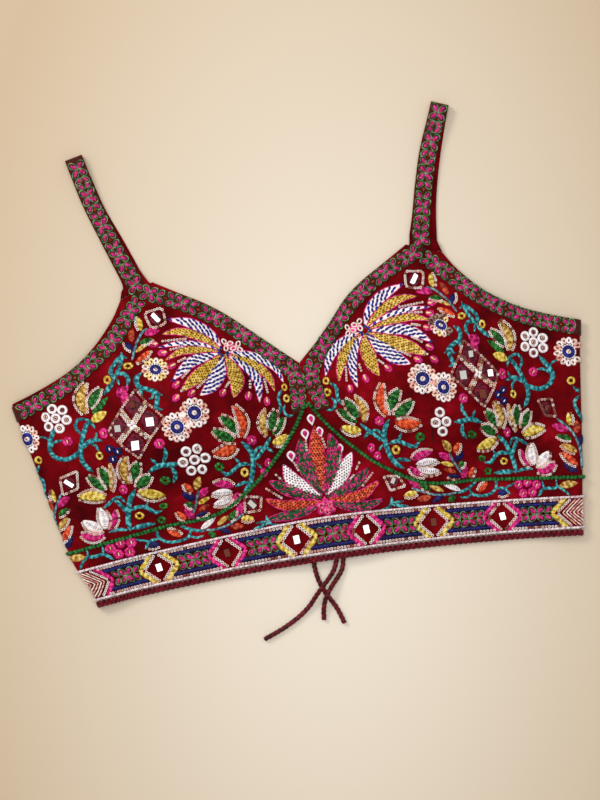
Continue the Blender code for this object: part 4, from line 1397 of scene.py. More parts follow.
STAMENS = (
    # sequins from and to, pink tip
    ((82, 32.5), (101.5, 33.4), (107.5, 32.2)), ((87, 27), (98, 26), (103.3, 24.6)),
    ((87, 18.3), (94, 16), (98.6, 13.8)), ((85.5, 9), (93, 3), (97.6, -1)),
    ((92, -3.5), (95.5, -7), (99.2, -10.8)), ((74.5, 0), (83, -6), (87.3, -9)),
    ((58, -4.5), (62, -8.5), (64.2, -12)), ((43, -5), (44, -12), (46, -17.2)),
    ((32, -5.5), (31.3, -17.5), (33, -23.3)),
)
NETS = {
    # the petal's floss, its nets, rows this far apart, stitches this far apart, stitch
    "navy": dict(base="white", nets=("navy_net",), step=2.8, across=3.2, size=(3.7, 2.1), turned=34.0,
                 jitter=0.3),
    "black": dict(base="mustard", nets=("black_net",), step=1.95, across=1.9, size=(1.25, 1.0), slant=0.4),
}
for side in (-1, 1):
    for kind, width, *route in FEATHERS:
        netted_petal(route, width, FEATHER_BLUNT, side=side, **NETS[kind])
    for start, end, (x, y) in STAMENS:
        sequin_row((start, end), side, mix=(0.8, 0.2, 0.0), size=0.85)
        ahead = math.degrees(math.atan2(y - start[1], x - start[0]))
        sew_ring("rings_magenta", x, y, (7.6, 5.6), (1.6, 1.0), ahead, side=side)
        sew_leaf("leaves_cream", ray(x, y, ahead, -3.4, 1.4), 1.7, side=side, lift=0.7)
    sew_many("leaves_magenta", (13.0, 6.0, 0.6), 47.8, 22.3, 20, 0.1, side, template=KNOT)
    for middle_x, middle_y, first in ((51.4, 24.0, 60), (44.0, 21.0, 120)):
        for turned in (first, first + 110, first + 230):
            c, s = cos_sin(turned)
            sew_ring("rings_pearl", middle_x + 2.9 * c, middle_y + 2.9 * s, (5.4, 4.2), (2.6, 1.8), turned,
                     1.2, side)
print("feathered flowers:", 2, "petals each:", len(FEATHERS))

# %% [markdown]
# ## Suns
# Round each of these flowers stand 14 lobes of thread. Most are pearly, some creamy, and those of
# the flower in a fold are mostly smoky brown, which paints the fold's shade, with two left out.
# Inside them come a white ring dotted with black stitches, a navy ring, and a pale disc held by
# one dark stitch.

# %% Suns
LOBES_PALE = ("pearl", "blush", "pearl", "white", "pearl", "pearl", "blush") * 2
LOBES_CREAM = ("pearl", "cream", "cream", "white", "cream", "cream", "blush") * 2
# The flower in a fold: most lobes are smoky brown, painted shade of the fold, and two are left out.
LOBES_IN_SHADE = ("smoke", None, None, "cream", "smoke", "smoke", "smoke", "smoke", "smoke", "blush", "pearl",
              "cream", "pearl", "smoke")
SUNS = (
    # sides, x, y, how wide, how high, turned by, lobes from the right round to the left
    ((-1, 1), 88, -23.8, 0.92, 0.95, 0, LOBES_PALE), ((-1, 1), 102.4, -32.4, 0.86, 0.93, 0, LOBES_PALE),
    ((-1,), 110.3, 12.8, 0.76, 0.68, 25, LOBES_CREAM), ((1,), 109.8, 14.2, 0.86, 0.62, -36, LOBES_IN_SHADE),
    ((1,), 208.8, -19.8, 0.84, 0.92, 0, LOBES_PALE), ((-1,), 212.4, -24.8, 0.84, 0.92, 0, LOBES_PALE),
)
SUN_LOBES_REACH = 9.5
SUN_DOTS_REACH = 6.2
SUN_RINGS = (
    # floss, size, hole, height
    ("white", 13.2, 10.6, 1.0), ("navy_net", 11.4, 4.2, 1.4),
)
SUN_DISC = 4.7


def sun(x, y, wide, high, turned, lobes, side):
    def round_it(count, reach, start=0.0):
        angle = tau * (np.arange(count) + start) / count
        off_x, off_y = rotated(reach * wide * np.cos(angle), reach * high * np.sin(angle), turned)
        return x + off_x, y + off_y, np.degrees(angle) + turned

    for skein, lobe_x, lobe_y, angle in zip(lobes, *round_it(len(lobes), SUN_LOBES_REACH)):
        if skein and clear_of_seam(lobe_x, lobe_y):
            sew_ring(f"rings_{skein}", lobe_x, lobe_y, (5.6, 5.3 * wide), (1.8, 0.9), angle, 0.9, side)
    sew_many("stitches_black_net", (1.0, 0.8, 0.4), *round_it(16, SUN_DOTS_REACH, 0.5), 0.95, side)
    for skein, size, hole, height in SUN_RINGS:
        sew_ring(f"rings_{skein}", x, y, (size * wide, size * high), (hole * wide, hole * high),
                 turned, height, side)
    sew_many("rings_pearl", (SUN_DISC * wide, SUN_DISC * high, 1.5), x, y, turned, 0.3, side, template=KNOT)
    sew_many("stitches_black_net", (2.8, 0.7, 0.4), x, y, 50, 1.6, side)


for sides, *row in SUNS:
    for side in sides:
        sun(*row, side)
print("suns:", sum(len(row[0]) for row in SUNS))

# %% [markdown]
# ## Mirror work
# A mirror here is a small block of silvered film on a patch of crimson satin, in a frame of
# sequins. Most lie alone, but on each cup four sit in the corners of a cross, whose arms are two
# rows of sequins on a gold line. What a mirror shows depends only on how it is tipped: these are
# set level, so they catch the lamp above, and their metal is bright, or darkened to grey or dark:
# painted reflection, for mirrors tipped away from the light.

# %% Mirrors
BLOCK = tube_template(4, 1)


def mirror_metal(name, colour):
    """Silvered plastic film: mirror-like metal, a little scratched."""
    material, shader = new_material(f"silvered_film_{name}", {
        "Base Color": linear(colour), "Metallic": 1.0, "Roughness": 0.15})
    worn = noise_at(material, object_place(material), 0.6)
    bump_from(material, shader, worn, 0.15, 0.05)
    return material


def sew_mirror(basket, x, y, width, height, angle, side=1, centre=None, at=None):
    """A mirror plate, set level on a wedge; at is where it lies on the front."""
    at_x, at_y = to_side(np.array((x, y, 0.0)), side, centre)[:2] if at is None else at
    fall_x = front_height(at_x - 0.5, at_y) - front_height(at_x + 0.5, at_y)
    fall_y = front_height(at_x, at_y - 0.5) - front_height(at_x, at_y + 0.5)
    turn = BLOCK["angle"] + pi / 4
    top = BLOCK["share"]
    reach = math.sqrt(2.0) * (1.0 - 0.12 * top)
    spot_x, spot_y = rotated(np.cos(turn) * width / 2 * reach, np.sin(turn) * height / 2 * reach, angle)
    wedge = 0.7 + (abs(fall_x) + abs(fall_y)) * 1.5
    rise = 0.25 + top * (wedge + spot_x * side * fall_x + spot_y * fall_y)
    sew(basket, BLOCK, np.column_stack([x + spot_x, y + spot_y, rise]), side, centre)


def sequin_frame(x, y, wide, high, turned, side=1):
    """Sequins round a square with soft corners, a little uneven as handwork is."""
    turn = np.radians(np.arange(0.0, 361.0, 12.0))
    reach = (np.abs(np.cos(turn)) ** 5 + np.abs(np.sin(turn)) ** 5) ** -0.2
    reach = reach * (1.0 + 0.04 * np.sin(3 * turn + x))
    off_x, off_y = rotated(reach * np.cos(turn) * wide / 2, reach * np.sin(turn) * high / 2, turned)
    sequin_row(np.column_stack([x + off_x, y + off_y]), side, pitch=2.05)


def satin_patch(x, y, length, width, side):
    sew_leaf("leaves_crimson", ((x, y - length / 2), (x, y + length / 2)), width, 0.3, 1.0, PETAL, side)


CUP_MIRROR = (100.3, 52.0)
CORNER_MIRRORS = (
    # side, mirror's place, across and up, turned, tone of its painted reflection, shares of the films of
    # sequins, corners
    (-1, 185.3, -62.8, 3.2, 8.2, -47, "bright", (0.6, 0.35, 0.05),
     ((191.2, -58.1), (177.7, -54.5), (179.7, -67.7), (192, -71.4))),
    (1, 185.4, -59.4, 3, 5, -30, "dark", (0.15, 0.3, 0.55),
     ((179.4, -52.5), (190.6, -53.3), (191.7, -67.4), (183.2, -65.2))),
    (-1, 57.8, -99.8, 4.4, 7.4, -38, "grey", (0.45, 0.35, 0.2),
     ((62.6, -92.8), (49.8, -95.5), (52.2, -105.4), (64.4, -105.6))),
    (1, 52.4, -97.8, 3.2, 5.6, -30, "grey", (0.6, 0.3, 0.1),
     ((45.8, -93.6), (57, -94.4), (60.6, -103.4), (49, -105.2))),
)
CLUSTER = (132.8, -26.4)
CLUSTER_CORNERS = ((126, 0.3), (149.7, -28.1), (132.6, -51.5), (109.8, -24.6))
CLUSTER_ARMS = ((139, -13.9), (144.4, -37.8), (122.4, -38.2), (120.2, -10.7))
CLUSTER_MIRRORS = (
    # x, y, across, up, tone of the painted reflection on the left and on the right
    (120.2, -25.5, 5.8, 7.2, "bright", "grey"), (143, -27, 4.2, 5.6, "grey", "bright"),
    (129.8, -10.9, 3.8, 5.2, "dark", "grey"), (133.2, -41.2, 5.6, 7.2, "bright", "dark"),
)
CLUSTER_ARM_HALF = 1.15
CLUSTER_EDGE_MIX = (0.25, 0.35, 0.4)
CLUSTER_ARM_MIX = {-1: (0.6, 0.15, 0.25), 1: (0.3, 0.25, 0.45)}
for side in (-1, 1):
    sequin_frame(*CUP_MIRROR, 13.4, 13.2, -10, side)
    satin_patch(*CUP_MIRROR, 10.5, 9.5, side)
    sew_mirror("mirrors_bright", *CUP_MIRROR, 3.6, 8.0, -38, side)
    for start, end, after in zip(CLUSTER_CORNERS, CLUSTER_ARMS, CLUSTER_CORNERS[1:] + CLUSTER_CORNERS[:1]):
        for ends in ((start, end), (end, after)):
            sequin_row(ends, side, size=0.9, mix=CLUSTER_EDGE_MIX)
        arm, across, _ = route_at((CLUSTER, end), (0.0, 1.0))
        sew_vine("vines_gold", arm, 0.9, 0.6, side, link=3.0)
        for hand in (-1, 1):
            sequin_row(arm + hand * CLUSTER_ARM_HALF * across, side, mix=CLUSTER_ARM_MIX[side])
    for x, y, width, height, left_reflection, right_reflection in CLUSTER_MIRRORS:
        satin_patch(x, y, 18.0, 13.0, side)
        film = left_reflection if side < 0 else right_reflection
        sew_mirror(f"mirrors_{film}", x, y, width, height, -2 * side, side)
    for angle in (20, 110, 200, 290):
        sew_leaf("leaves_white", ray(*CLUSTER, angle, 0.3, 3.8), 2.6, side=side, lift=1.0)
for side, x, y, width, height, angle, film, mix, corners in CORNER_MIRRORS:
    for start, end in zip(corners, corners[1:] + corners[:1]):
        sequin_row((start, end), side, mix=mix)
    satin_patch(x, y, 10.5, 9.0, side)
    sew_mirror(f"mirrors_{film}", x, y, width, height, angle, side)
print("mirrors:", 2 * (1 + len(CLUSTER_MIRRORS)) + len(CORNER_MIRRORS))

# %% [markdown]
# ## The lotus in the middle
# Between the cups opens a lotus of orange net, white, checked and orange petals on a small
# pink blossom, with pink drops on stalks above it. All its petals run out of one point.

# %% Lotus
LOTUS_HEART = (-0.6, -101.7)
LOTUS_PETALS = (
    # kind, width, how far the heart is missed in x and y, points on the way to the tip
    ("checked", 13, (-0.8, 0.5), (-6.7, -86.8), (-10.1, -68), (-9.9, -54.9)),
    ("checked", 13, (0.8, 0.5), (6.9, -88.8), (14.2, -70), (12.7, -54.1)),
    ("dotted", 11.6, (-1.4, 0.2), (-11, -96), (-20.4, -87.5), (-25.7, -73)),
    ("dotted", 11.6, (1.4, 0.2), (9.5, -94.5), (18.5, -84.4), (28.3, -71.2)),
    ("checked", 10, (-1.8, -1.6), (-13.5, -98.5), (-25.6, -92.8), (-38.6, -84)),
    ("checked", 10, (1.8, -1.6), (14, -99.5), (26.5, -94.9), (39.8, -85.2)),
    ("mesh", 7.8, (-1.5, -3.8), (-15.5, -105.8), (-30.7, -104.4), (-44.2, -97.2)),
    ("mesh", 7.8, (1.1, -2.7), (15, -105.8), (29.7, -105.2), (46.1, -96)),
    ("checked", 7.4, (-2.7, -5.2), (-15, -111), (-29.1, -112.8), (-46.4, -113.4)),
    ("checked", 7.4, (2.3, -5.2), (15, -112), (29.6, -114.2), (46.6, -110.9)),
    ("mesh", 12, (0, 1.2), (-0.6, -88), (-0.2, -74.5), (2.9, -47)),
)
LOTUS_NETS = {
    "checked": dict(base="dark_green", nets=("magenta", "speck_green"), step=1.6, across=1.8,
                    size=(2.1, 1.35), jitter=0.3),
    "dotted": dict(base="white", nets=("black_net",), step=2.0, across=2.2, size=(1.35, 1.15)),
    "mesh": dict(base="orange", nets=("wine_net",), step=1.9, across=2.2, size=(1.7, 1.2), turned=35.0),
}
for kind, width, miss, *route in LOTUS_PETALS:
    base = (LOTUS_HEART[0] + miss[0], LOTUS_HEART[1] + miss[1])
    netted_petal((base, *route), width, 1.1, centre=0.0, **LOTUS_NETS[kind])
LOTUS_DROPS = (
    # x, y of the drop, then where its stalk of sequins starts and ends
    (1, -41.7, None, None), (-5.7, -52.2, (-6.2, -57), (-7, -66)), (5.7, -52.2, (6.6, -57), (8, -66)),
    (-19, -67.3, (-18, -72), (-15.5, -80)), (19, -67.3, (18.6, -72), (16, -79)),
)
for x, y, start, end in LOTUS_DROPS:
    sew_leaf("leaves_white", ((x, y - 5.4), (x, y + 3.9)), 6.4, 0.7, 1.5, PETAL, centre=0.0)
    sew_leaf("leaves_magenta", ((x, y - 2.8), (x, y + 2.7)), 3.5, 0.7, 1.2, centre=0.0, lift=0.5)
    if start:
        sequin_row((start, end), 1, 0.0, size=0.8, mix=(0.7, 0.3, 0.0))
for start, end in (((33, -79.5), (28.5, -85.5)), ((26.5, -89), (22, -92)), ((42, -89), (31, -99)),
                   ((18.5, -86), (16, -89))):
    for side in (-1, 1):
        sequin_row((start, end), side, 0.0, size=0.85, mix=(0.5, 0.4, 0.1))
BLOSSOM = (-0.7, -110.7)
sew_leaf("leaves_magenta", (LOTUS_HEART, BLOSSOM), 4.6, 1.2, 1.1, PETAL, centre=0.0, lift=0.7)
sew_many("leaves_magenta", (11.0, 9.0, 1.2), *BLOSSOM, 0, 0.1, 1, 0.0, KNOT)
for turned in range(30, 390, 60):
    c, s = cos_sin(turned)
    x, y = BLOSSOM[0] + 4.5 * c, BLOSSOM[1] + 4.1 * s
    sew_ring("rings_magenta", x, y, (7.2, 6.6), (1.4, 1.0), turned, 1.6, centre=0.0)
    sew_ring("rings_blush", x - 0.6 * c, y - 0.6 * s, (4.6, 3.4), (3.0, 2.0), turned + 25, 1.9, centre=0.0)
print("lotus petals:", len(LOTUS_PETALS))

# %% [markdown]
# ## Flower lace
# One bought tape edges the neckline, the armholes and the fronts of the straps. It carries a
# cross of four petals, then a pair that points back at it, then a small red stem, and so on
# every 26 mm. Tapes and petals ride on rails: a rail is a smooth line through the crosses, and
# whatever rides on it is placed by how far along it is and how far across.

# %% Lace tapes
TAPE_WALL = 0.8
TAPE_OUT = CLOTH_TOP + 0.1 + TAPE_WALL / 2
TAPE_TOP = 0.1 + TAPE_WALL  # above the velvet's face
TAPE_HALF = 5.9
STRAP_TAPE_WIDTH = 13.2
STRAP_TAPE_FOOT = 4.0  # how far above the strap's base its tape begins
STRAP_TAPE_BEND = 0.97  # the share of it where the fold begins
TAPE_FOOT = -36.0  # where the neckline's tape ends down the centre front
STRAP_SPLIT = 111.5  # the neckline's tape meets the armhole's under the strap
LACE_REPEAT = 26.0
LACE_RAILS = {
    # the crosses along each rail: x out from the centre, y
    (-1, "neck"): ((6.5, -49), (5.6, -26.9), (5.2, -5), (19.2, 12.2), (36.6, 29.6), (55.8, 46),
                   (78.9, 60.8), (102.6, 72), (124, 84)),
    (1, "neck"): ((15.5, -50), (11.2, -28.8), (7.1, -7.4), (19, 11.8), (38.2, 31), (58.3, 48.2),
                  (79.8, 61.6), (102.2, 72.2), (124, 84)),
    (-1, "arm"): ((99, 79), (118.6, 59.8), (135.7, 39.1), (157.5, 23), (179.6, 9.5), (204.5, 0.2),
                  (230, -8)),
    (1, "arm"): ((99, 80), (119.3, 60.5), (138.2, 40.1), (154.8, 26), (175.8, 13.2), (195.4, 5.2),
                 (216, -1.6), (238, -8)),
}


def on_neck_side(x, y):
    return (x < STRAP_SPLIT) & (y > np.maximum(TAPE_FOOT, cup_seam(np.maximum(x, 0.5)) + 0.8))


def on_arm_side(x, y):
    return (x > STRAP_SPLIT + SEAM_GAP) & (x < seam_distance(y) - 0.2)


def tape_place(side, rail, inside):
    """A tape along its rail, cut off where it would leave the part of the panel it is sewn to."""
    rows = LACE_RAILS[side, rail]
    share, lines = np.linspace(0.0, 1.0, 800), np.linspace(0.0, 1.0, 13)
    middle, across, _ = route_at(rows, share)
    starts, stops = [], []
    for line in lines:
        x, y = (middle + across * (1.0 - 2.0 * line) * TAPE_HALF).T
        kept = share[inside(x, y)]
        starts.append(kept[0])
        stops.append(kept[-1])

    def place(u, v):
        start, stop = np.interp(v, lines, starts), np.interp(v, lines, stops)
        middle, across, _ = route_at(rows, start + (stop - start) * u)
        x, y = (middle + across * ((1.0 - 2.0 * v) * TAPE_HALF)[:, None]).T
        return front_point(side, np.maximum(0.2, x), y, TAPE_OUT)
    return place


lace_ribbon, lace_ribbon_shader = new_material("woven_lace_ribbon", {
    "Roughness": 0.8, "Specular IOR Level": 0.15, "Sheen Weight": 0.1, "Sheen Roughness": 0.5})
ribbon_mix = noise_at(lace_ribbon, object_place(lace_ribbon), 1.2, 3.0)
# Its darkest green and brown patches are partly the lace's green ground and partly painted shade under its
# threads.
feed(lace_ribbon, lace_ribbon_shader, "Base Color", colour_ramp(
    lace_ribbon, ribbon_mix, ((0.38, "#143816"), (0.45, "#38100C"), (0.52, "#50070E"), (0.7, "#640A16"))))
bump_from(lace_ribbon, lace_ribbon_shader, ribbon_mix, 0.6, 0.3)


def strap_tape_place(side):
    """A tape on the front of a strap, from its base to the first bend of its fold."""
    def place(u, v):
        foot = STRAP_FOOT + STRAP_TAPE_FOOT
        y = foot + (STRAP_TOP - STRAP_FOOT - STRAP_TAPE_FOOT) * np.minimum(v / STRAP_TAPE_BEND, 1.0)
        across = (u - 0.5) * STRAP_TAPE_WIDTH
        flat = strap_front(side, y, across, TAPE_OUT)
        turn = np.maximum(0.0, v - STRAP_TAPE_BEND) / 0.03 * pi / 5
        return np.where((v > STRAP_TAPE_BEND)[..., None], strap_round(side, turn, across, TAPE_OUT), flat)
    return place


for side, word in SIDES:
    for kind, columns, rows, place, flat, under in (
            ("neck", 64, 6, tape_place(side, "neck", on_neck_side), (12.5, 180.0), "cup"),
            ("arm", 54, 6, tape_place(side, "arm", on_arm_side), (12.5, 150.0), "cup"),
            ("strap", 4, 40, strap_tape_place(side), (15.0, 110.0), "strap")):
        cloth(f"{kind}_tape_{word}", columns, rows, place, TAPE_WALL, lace_ribbon, "flower_lace",
              f"{kind}_lace_{word}", flat)

# %% Lace flowers
LACE_PETAL = ball_template(8, 6)
STRAP_CROSSES = {-1: (80.4, 104.1, 129.0, 152.6, 174.4), 1: (83.1, 106.9, 132.3, 155.6, 176.8)}
# Foot and tip of a petal of the cross and of the pair beside it, along and across, and the stem
CROSS_PETAL = ((0.5, 0.5), (5.0, 4.8))
PAIR_PETAL = ((6.8, 0.9), (10.8, 4.7))
STEM = (11.6, 13.2, 14.8)


def sew_lace_petal(basket, spot, ends, s, v, side):
    """One petal inside its loop; s and v are the signs of its quarter of the cross."""
    foot, tip = (spot(s * along, v * across) for along, across in ends)
    if not clear_of_seam(*tip):
        return
    middle = [(a + b) / 2 for a, b in zip(foot, tip)]
    angle = math.degrees(math.atan2(tip[1] - foot[1], tip[0] - foot[0]))
    length = math.dist(foot, tip)
    sew_leaf(f"{basket}_petals", (foot, middle, tip), length * 0.56, 0.9, 0.86, LACE_PETAL, side,
             0.0, lift=TAPE_TOP)
    turn, section = LOOP["angle"], tau * LOOP["share"]
    reach = 1.0 + 0.15 * np.cos(section)
    narrow = 0.78 + 0.22 * np.cos(turn - 0.3 * np.sin(turn))
    flat_x = reach * length * 0.6 * np.cos(turn) + length * 0.03
    flat_y = reach * length * 0.43 * np.sin(turn) * narrow
    rise = TAPE_TOP + 0.35 + 0.5 * np.sin(section)
    off_x, off_y = rotated(flat_x, flat_y, angle)
    sew(f"{basket}_loops", LOOP, np.column_stack([middle[0] + off_x, middle[1] + off_y, rise]), side, 0.0)


def sew_lace_repeat(basket, spot, side, parts):
    """A cross at the start of spot's measures, its two pairs, and the stem after it."""
    if "cross" in parts:
        for s, v in ((1, 1), (1, -1), (-1, 1), (-1, -1)):
            sew_lace_petal(basket, spot, CROSS_PETAL, s, v, side)
    for part, s in (("low", -1), ("high", 1)):
        if part in parts:
            for v in (1, -1):
                sew_lace_petal(basket, spot, PAIR_PETAL, s, v, side)
    stem = [spot(s, 0.0) for s in STEM]
    if "stem" in parts and clear_of_seam(*stem[-1]):
        sew_leaf(f"{basket}_stems", stem, 1.3, 0.8, 1.0, LACE_PETAL, side, 0.0, lift=TAPE_TOP)


def rail_spot(rows, number):
    """Measures along and across a rail, from its cross of that number, as x and y."""
    at = distance_along(rows)

    def spot(s, v):
        reach = (at[number + 1] - at[number]) if s > 0 else (at[number] - at[number - 1])
        middle, across, _ = route_at(rows, (at[number] + s * reach / LACE_REPEAT) / at[-1])
        x, y = middle + across * v
        return float(x), float(y)
    return spot


for (side, rail), rows in LACE_RAILS.items():
    for number in range(1, len(rows) - 1):
        parts = {"low", "cross", "high", "stem"}
        if rail == "neck" and number == 1:
            parts -= {"low"}
        if number == len(rows) - 2:
            parts -= {"high", "stem"} if rail == "neck" else {"stem"}
        sew_lace_repeat("lace", rail_spot(rows, number), side, parts)
for side, word in SIDES:
    for number, y in enumerate(STRAP_CROSSES[side]):
        parts = {"cross", "high", "stem"} if number == 0 else {"low", "cross", "high", "stem"}
        if number == len(STRAP_CROSSES[side]) - 1:
            parts = {"low", "cross"}
        sew_lace_repeat(f"strap_lace_{word}", lambda s, v, y=y: (v, y + s), 1, parts)


def on_strap(side):
    return lambda spots: strap_front(side, spots[..., 1], spots[..., 0], CLOTH_TOP + spots[..., 2])


for basket, lay_on in (("lace", on_front), ("strap_lace_left", on_strap(-1)),
                       ("strap_lace_right", on_strap(1))):
    for kind, skein in (("petals", "lace_magenta"), ("loops", "lace_green"), ("stems", "rust")):
        empty_basket(f"{basket}_{kind}", floss[skein], "flower_lace", lay_on)

# %% [markdown]
# ## The border
# The border is a chain of diamonds with a mirror in each, and a flower between two. Its bars
# are satin stitch over a string, yellow and magenta in turn. Rows of sequins follow them inside,
# and run along the border's edges with a navy strip beside them. Chevrons fill the two ends: one
# of sequins, then thin pearl and blush lines. The border has its own measures: x along, and v up
# from its middle line.

# %% Border
BORDER_HEIGHT = 27.5
DIAMONDS = (
    # x, bars, mirror, mirror turned by
    (-133.1, "yellow", "bright", 4), (-79.6, "magenta", "dark", 4), (-25.6, "yellow", "bright", 4),
    (28.4, "magenta", "bright", 8), (80.9, "yellow", "dark", 0), (133.9, "magenta", "bright", 10),
)
BORDER_FLOWERS = (-160.1, -105.6, -51.6, 1.9, 55.4, 107.9, 160.2)
LEFT_CHEVRON = -173.1
RIGHT_CHEVRON = 171.6
BAR_FOOT = 4.0  # how far from a diamond's middle its bars meet the border's edges
BAR_TIP = 15.0  # how far from it two bars meet on the middle line
BAR_REACH = 12.4
BAR_WIDTH = 4.6
EDGE_ROW = 10.9
NAVY_ROW = 7.9
CHEVRON_SPAN = 11.0
CHEVRON_END = float(seam_distance(-139.0)) - 2.0


def on_border(spots):
    """Lays a basket whose points are in the border's own measures."""
    x, v = spots[..., 0], spots[..., 1]
    high, low = band_top(x), band_bottom(x)
    scale = (high - low) / BORDER_HEIGHT
    slope = (band_top(x + 1) + band_bottom(x + 1) - band_top(x - 1) - band_bottom(x - 1)) / 4
    y = (high + low) / 2 + 0.6 + v * scale
    return on_front(np.stack([x - v * slope, y, spots[..., 2]], -1))


def border_row(route, pitch=2.15, size=1.0, mix=(0.6, 0.3, 0.1)):
    """Sequins in the border's measures; they are laid with the rest of the border's."""
    for x, v in places_along(route, pitch):
        border_sequins.append((x, v, size, chance.choice(3, p=mix), 0.0))


def satin_bar(skein, route, width):
    sew_vine(f"border_{skein}", route, width, 1.0, 1, 0.0, 0.75, 0.9)


border_sequins = []
for x, skein, mirror, turned in DIAMONDS:
    for s in (-1, 1):
        for v in (-1, 1):
            satin_bar(skein, ((x + s * BAR_TIP, 0.1 * v), (x + s * BAR_FOOT, BAR_REACH * v)), BAR_WIDTH)
            border_row(((x + s * (BAR_TIP - 4.0), 0.5 * v), (x + s * (BAR_FOOT - 2.6), 11.2 * v)),
                       pitch=2.5, size=1.15, mix=(0.7, 0.22, 0.08))
    sew_mirror(f"border_mirrors_{mirror}", x, 0.2, 4.8, 7.0, turned, 1, 0.0,
               (x, (band_top(x) + band_bottom(x)) / 2))
for x in BORDER_FLOWERS:
    sew_lace_repeat("border_flower", lambda s, v, x=x: (x + s, v * 1.08 + 0.2), 1, ("low", "cross", "high"))
walls = [LEFT_CHEVRON] + [row[0] for row in DIAMONDS] + [RIGHT_CHEVRON]
for left, right in zip(walls, walls[1:]):
    start = left - CHEVRON_SPAN if left == LEFT_CHEVRON else left + BAR_FOOT
    stop = right + CHEVRON_SPAN if right == RIGHT_CHEVRON else right - BAR_FOOT
    for v in (-1, 1):
        border_row(((start + 2.0, EDGE_ROW * v), (stop - 2.0, EDGE_ROW * v)), pitch=2.6)
        satin_bar("navy", ((start + 4.8, NAVY_ROW * v), (stop - 4.8, NAVY_ROW * v)), 4.4)
for v in (-1, 1):
    for end, s, skein in ((LEFT_CHEVRON, -1, "magenta"), (RIGHT_CHEVRON, 1, "yellow")):
        satin_bar(skein, ((end, 0.1 * v), (end + s * CHEVRON_SPAN, BAR_REACH * v)), BAR_WIDTH)
        border_row(((end + s * 4.6, 0.6 * v), (end + s * 14.6, 11.2 * v)), size=1.05, mix=(0.8, 0.2, 0.0))
        for number in range(7):
            back = abs(end) + 8.2 + 2.7 * number
            part = min(1.0, (CHEVRON_END - back) / 10.6)
            satin_bar("pearl" if number % 2 else "blush",
                      ((s * back, 0.0), (s * (back + 10.6 * part), 11.4 * part * v)), 1.2)
for kind in ("yellow", "magenta", "navy", "pearl", "blush", "flower_petals", "flower_loops"):
    skein = {"flower_petals": "lace_magenta", "flower_loops": "lace_green"}.get(kind, kind)
    empty_basket(f"border_{kind}", floss[skein], "border_embroidery", on_border)

# %% [markdown]
# ## Cords
# Two strands of white silk laid round each other edge the border. The green line under the
# cups is a row of knots, each pulled tight over the seam. The hem is finished with a plait of
# three maroon strands, so it shows one bump after another.

# %% Cords along the front
CORD_LAY = 4.2  # mm for one turn of the white cord's two strands
CORD_RISE = 1.3  # its middle above the velvet
PLAIT_REPEAT = 12.0  # mm after which the plait looks the same
KNOT_PITCH = 2.95


def line_on_front(edge, length, share):
    """Places along an edge from one side seam to the other, by arc length, and the way across."""
    x = np.linspace(-length, length, 400)
    run = distance_along(np.column_stack([x, edge(x)]))
    x_here = np.interp(share * run[-1], run, x)
    slope = (edge(x_here + 1.0) - edge(x_here - 1.0)) / 2
    grow = np.hypot(1.0, slope)
    return x_here, edge(x_here), slope / grow, 1.0 / grow, run[-1]


def lay_strand(basket, edge, half_length, path, size, step):
    """One strand of a cord; path gives its way across and up for each mm along the cord."""
    length = line_on_front(edge, half_length, np.array(0.0))[4]
    template = tube(length, step)
    x, y, slope, level, _ = line_on_front(edge, half_length, template["share"])
    across, up = path(template["share"] * length)
    angle = template["angle"]
    across = across + np.cos(angle) * size[0] / 2
    up = up + np.sin(angle) * size[1] / 2
    spots = np.column_stack([x - slope * across, y + level * across, up])
    sew(basket, template, spots, 1, 0.0, length)


def lay_twisted(basket, edge, half_length):
    for start in (0.0, pi):
        lay_strand(basket, edge, half_length, lambda run, start=start: (
            0.42 * np.cos(tau * run / CORD_LAY + start),
            CORD_RISE + 0.4 * np.sin(tau * run / CORD_LAY + start)), (1.3, 1.2), 0.62)


def side_reach(y):
    return float(seam_distance(y)) - 0.4


lay_twisted("white_cord_upper", band_top, side_reach(-131.7))
lay_twisted("white_cord_lower", lambda x: band_bottom(x) + 1.2, side_reach(-155.0))
cord_silk = skein_material("pale_cord", "#EAD8DE", "#B49CA6", "#FFF4F8")
empty_basket("white_cord_upper", cord_silk, "white_cord", on_front, "piping_upper")
empty_basket("white_cord_lower", cord_silk, "white_cord", on_front, "piping_lower")
for strand in range(3):
    phase = tau * strand / 3
    lay_strand("hem_plait", lambda x: band_bottom(x) - 2.9, side_reach(-158.0), lambda run, phase=phase: (
        1.35 * np.sin(tau * run / PLAIT_REPEAT + phase),
        0.75 * np.sin(2 * tau * run / PLAIT_REPEAT + 2 * phase) - CLOTH_TOP), (2.6, 2.3), 0.9)
plait_silk = skein_material("maroon_plait", "#640618", "#3E030C", "#840E26")
empty_basket("hem_plait", plait_silk, "maroon_braid", on_front, "hem_braid")

knots_green = skein_material("green_knots", "#145A28", "#072E10", "#30843E")
for side, word in SIDES:
    reach = np.linspace(1.6, side_reach(-117.0) + 0.4, 300)
    run = distance_along(np.column_stack([reach, cup_seam(reach)]))
    x = np.interp(np.arange(0.0, run[-1], KNOT_PITCH), run, reach)
    slope = cup_seam(x + 0.5) - cup_seam(x - 0.5)
    lean = np.degrees(np.arctan(slope)) + 28.0
    over_tape = 1.1 * (1.0 - smooth_step((x - 11.0) / 4.0))
    sew_many(f"green_knots_{word}", (3.6, 3.4, 2.1), x, cup_seam(x), lean, 0.3 + over_tape, side, 0.0,
             KNOT)
    empty_basket(f"green_knots_{word}", knots_green, "green_cord", on_front, f"seam_cord_{word}")

# %% [markdown]
# ## Ties
# The back closes with cords, and their ends show below the hem: one from the left, two from
# the right that cross over it and each other. Their routes are those of their solids. Each is
# three strands of dark silk twisted together, so its section is a three-lobed shape that turns
# as it goes.

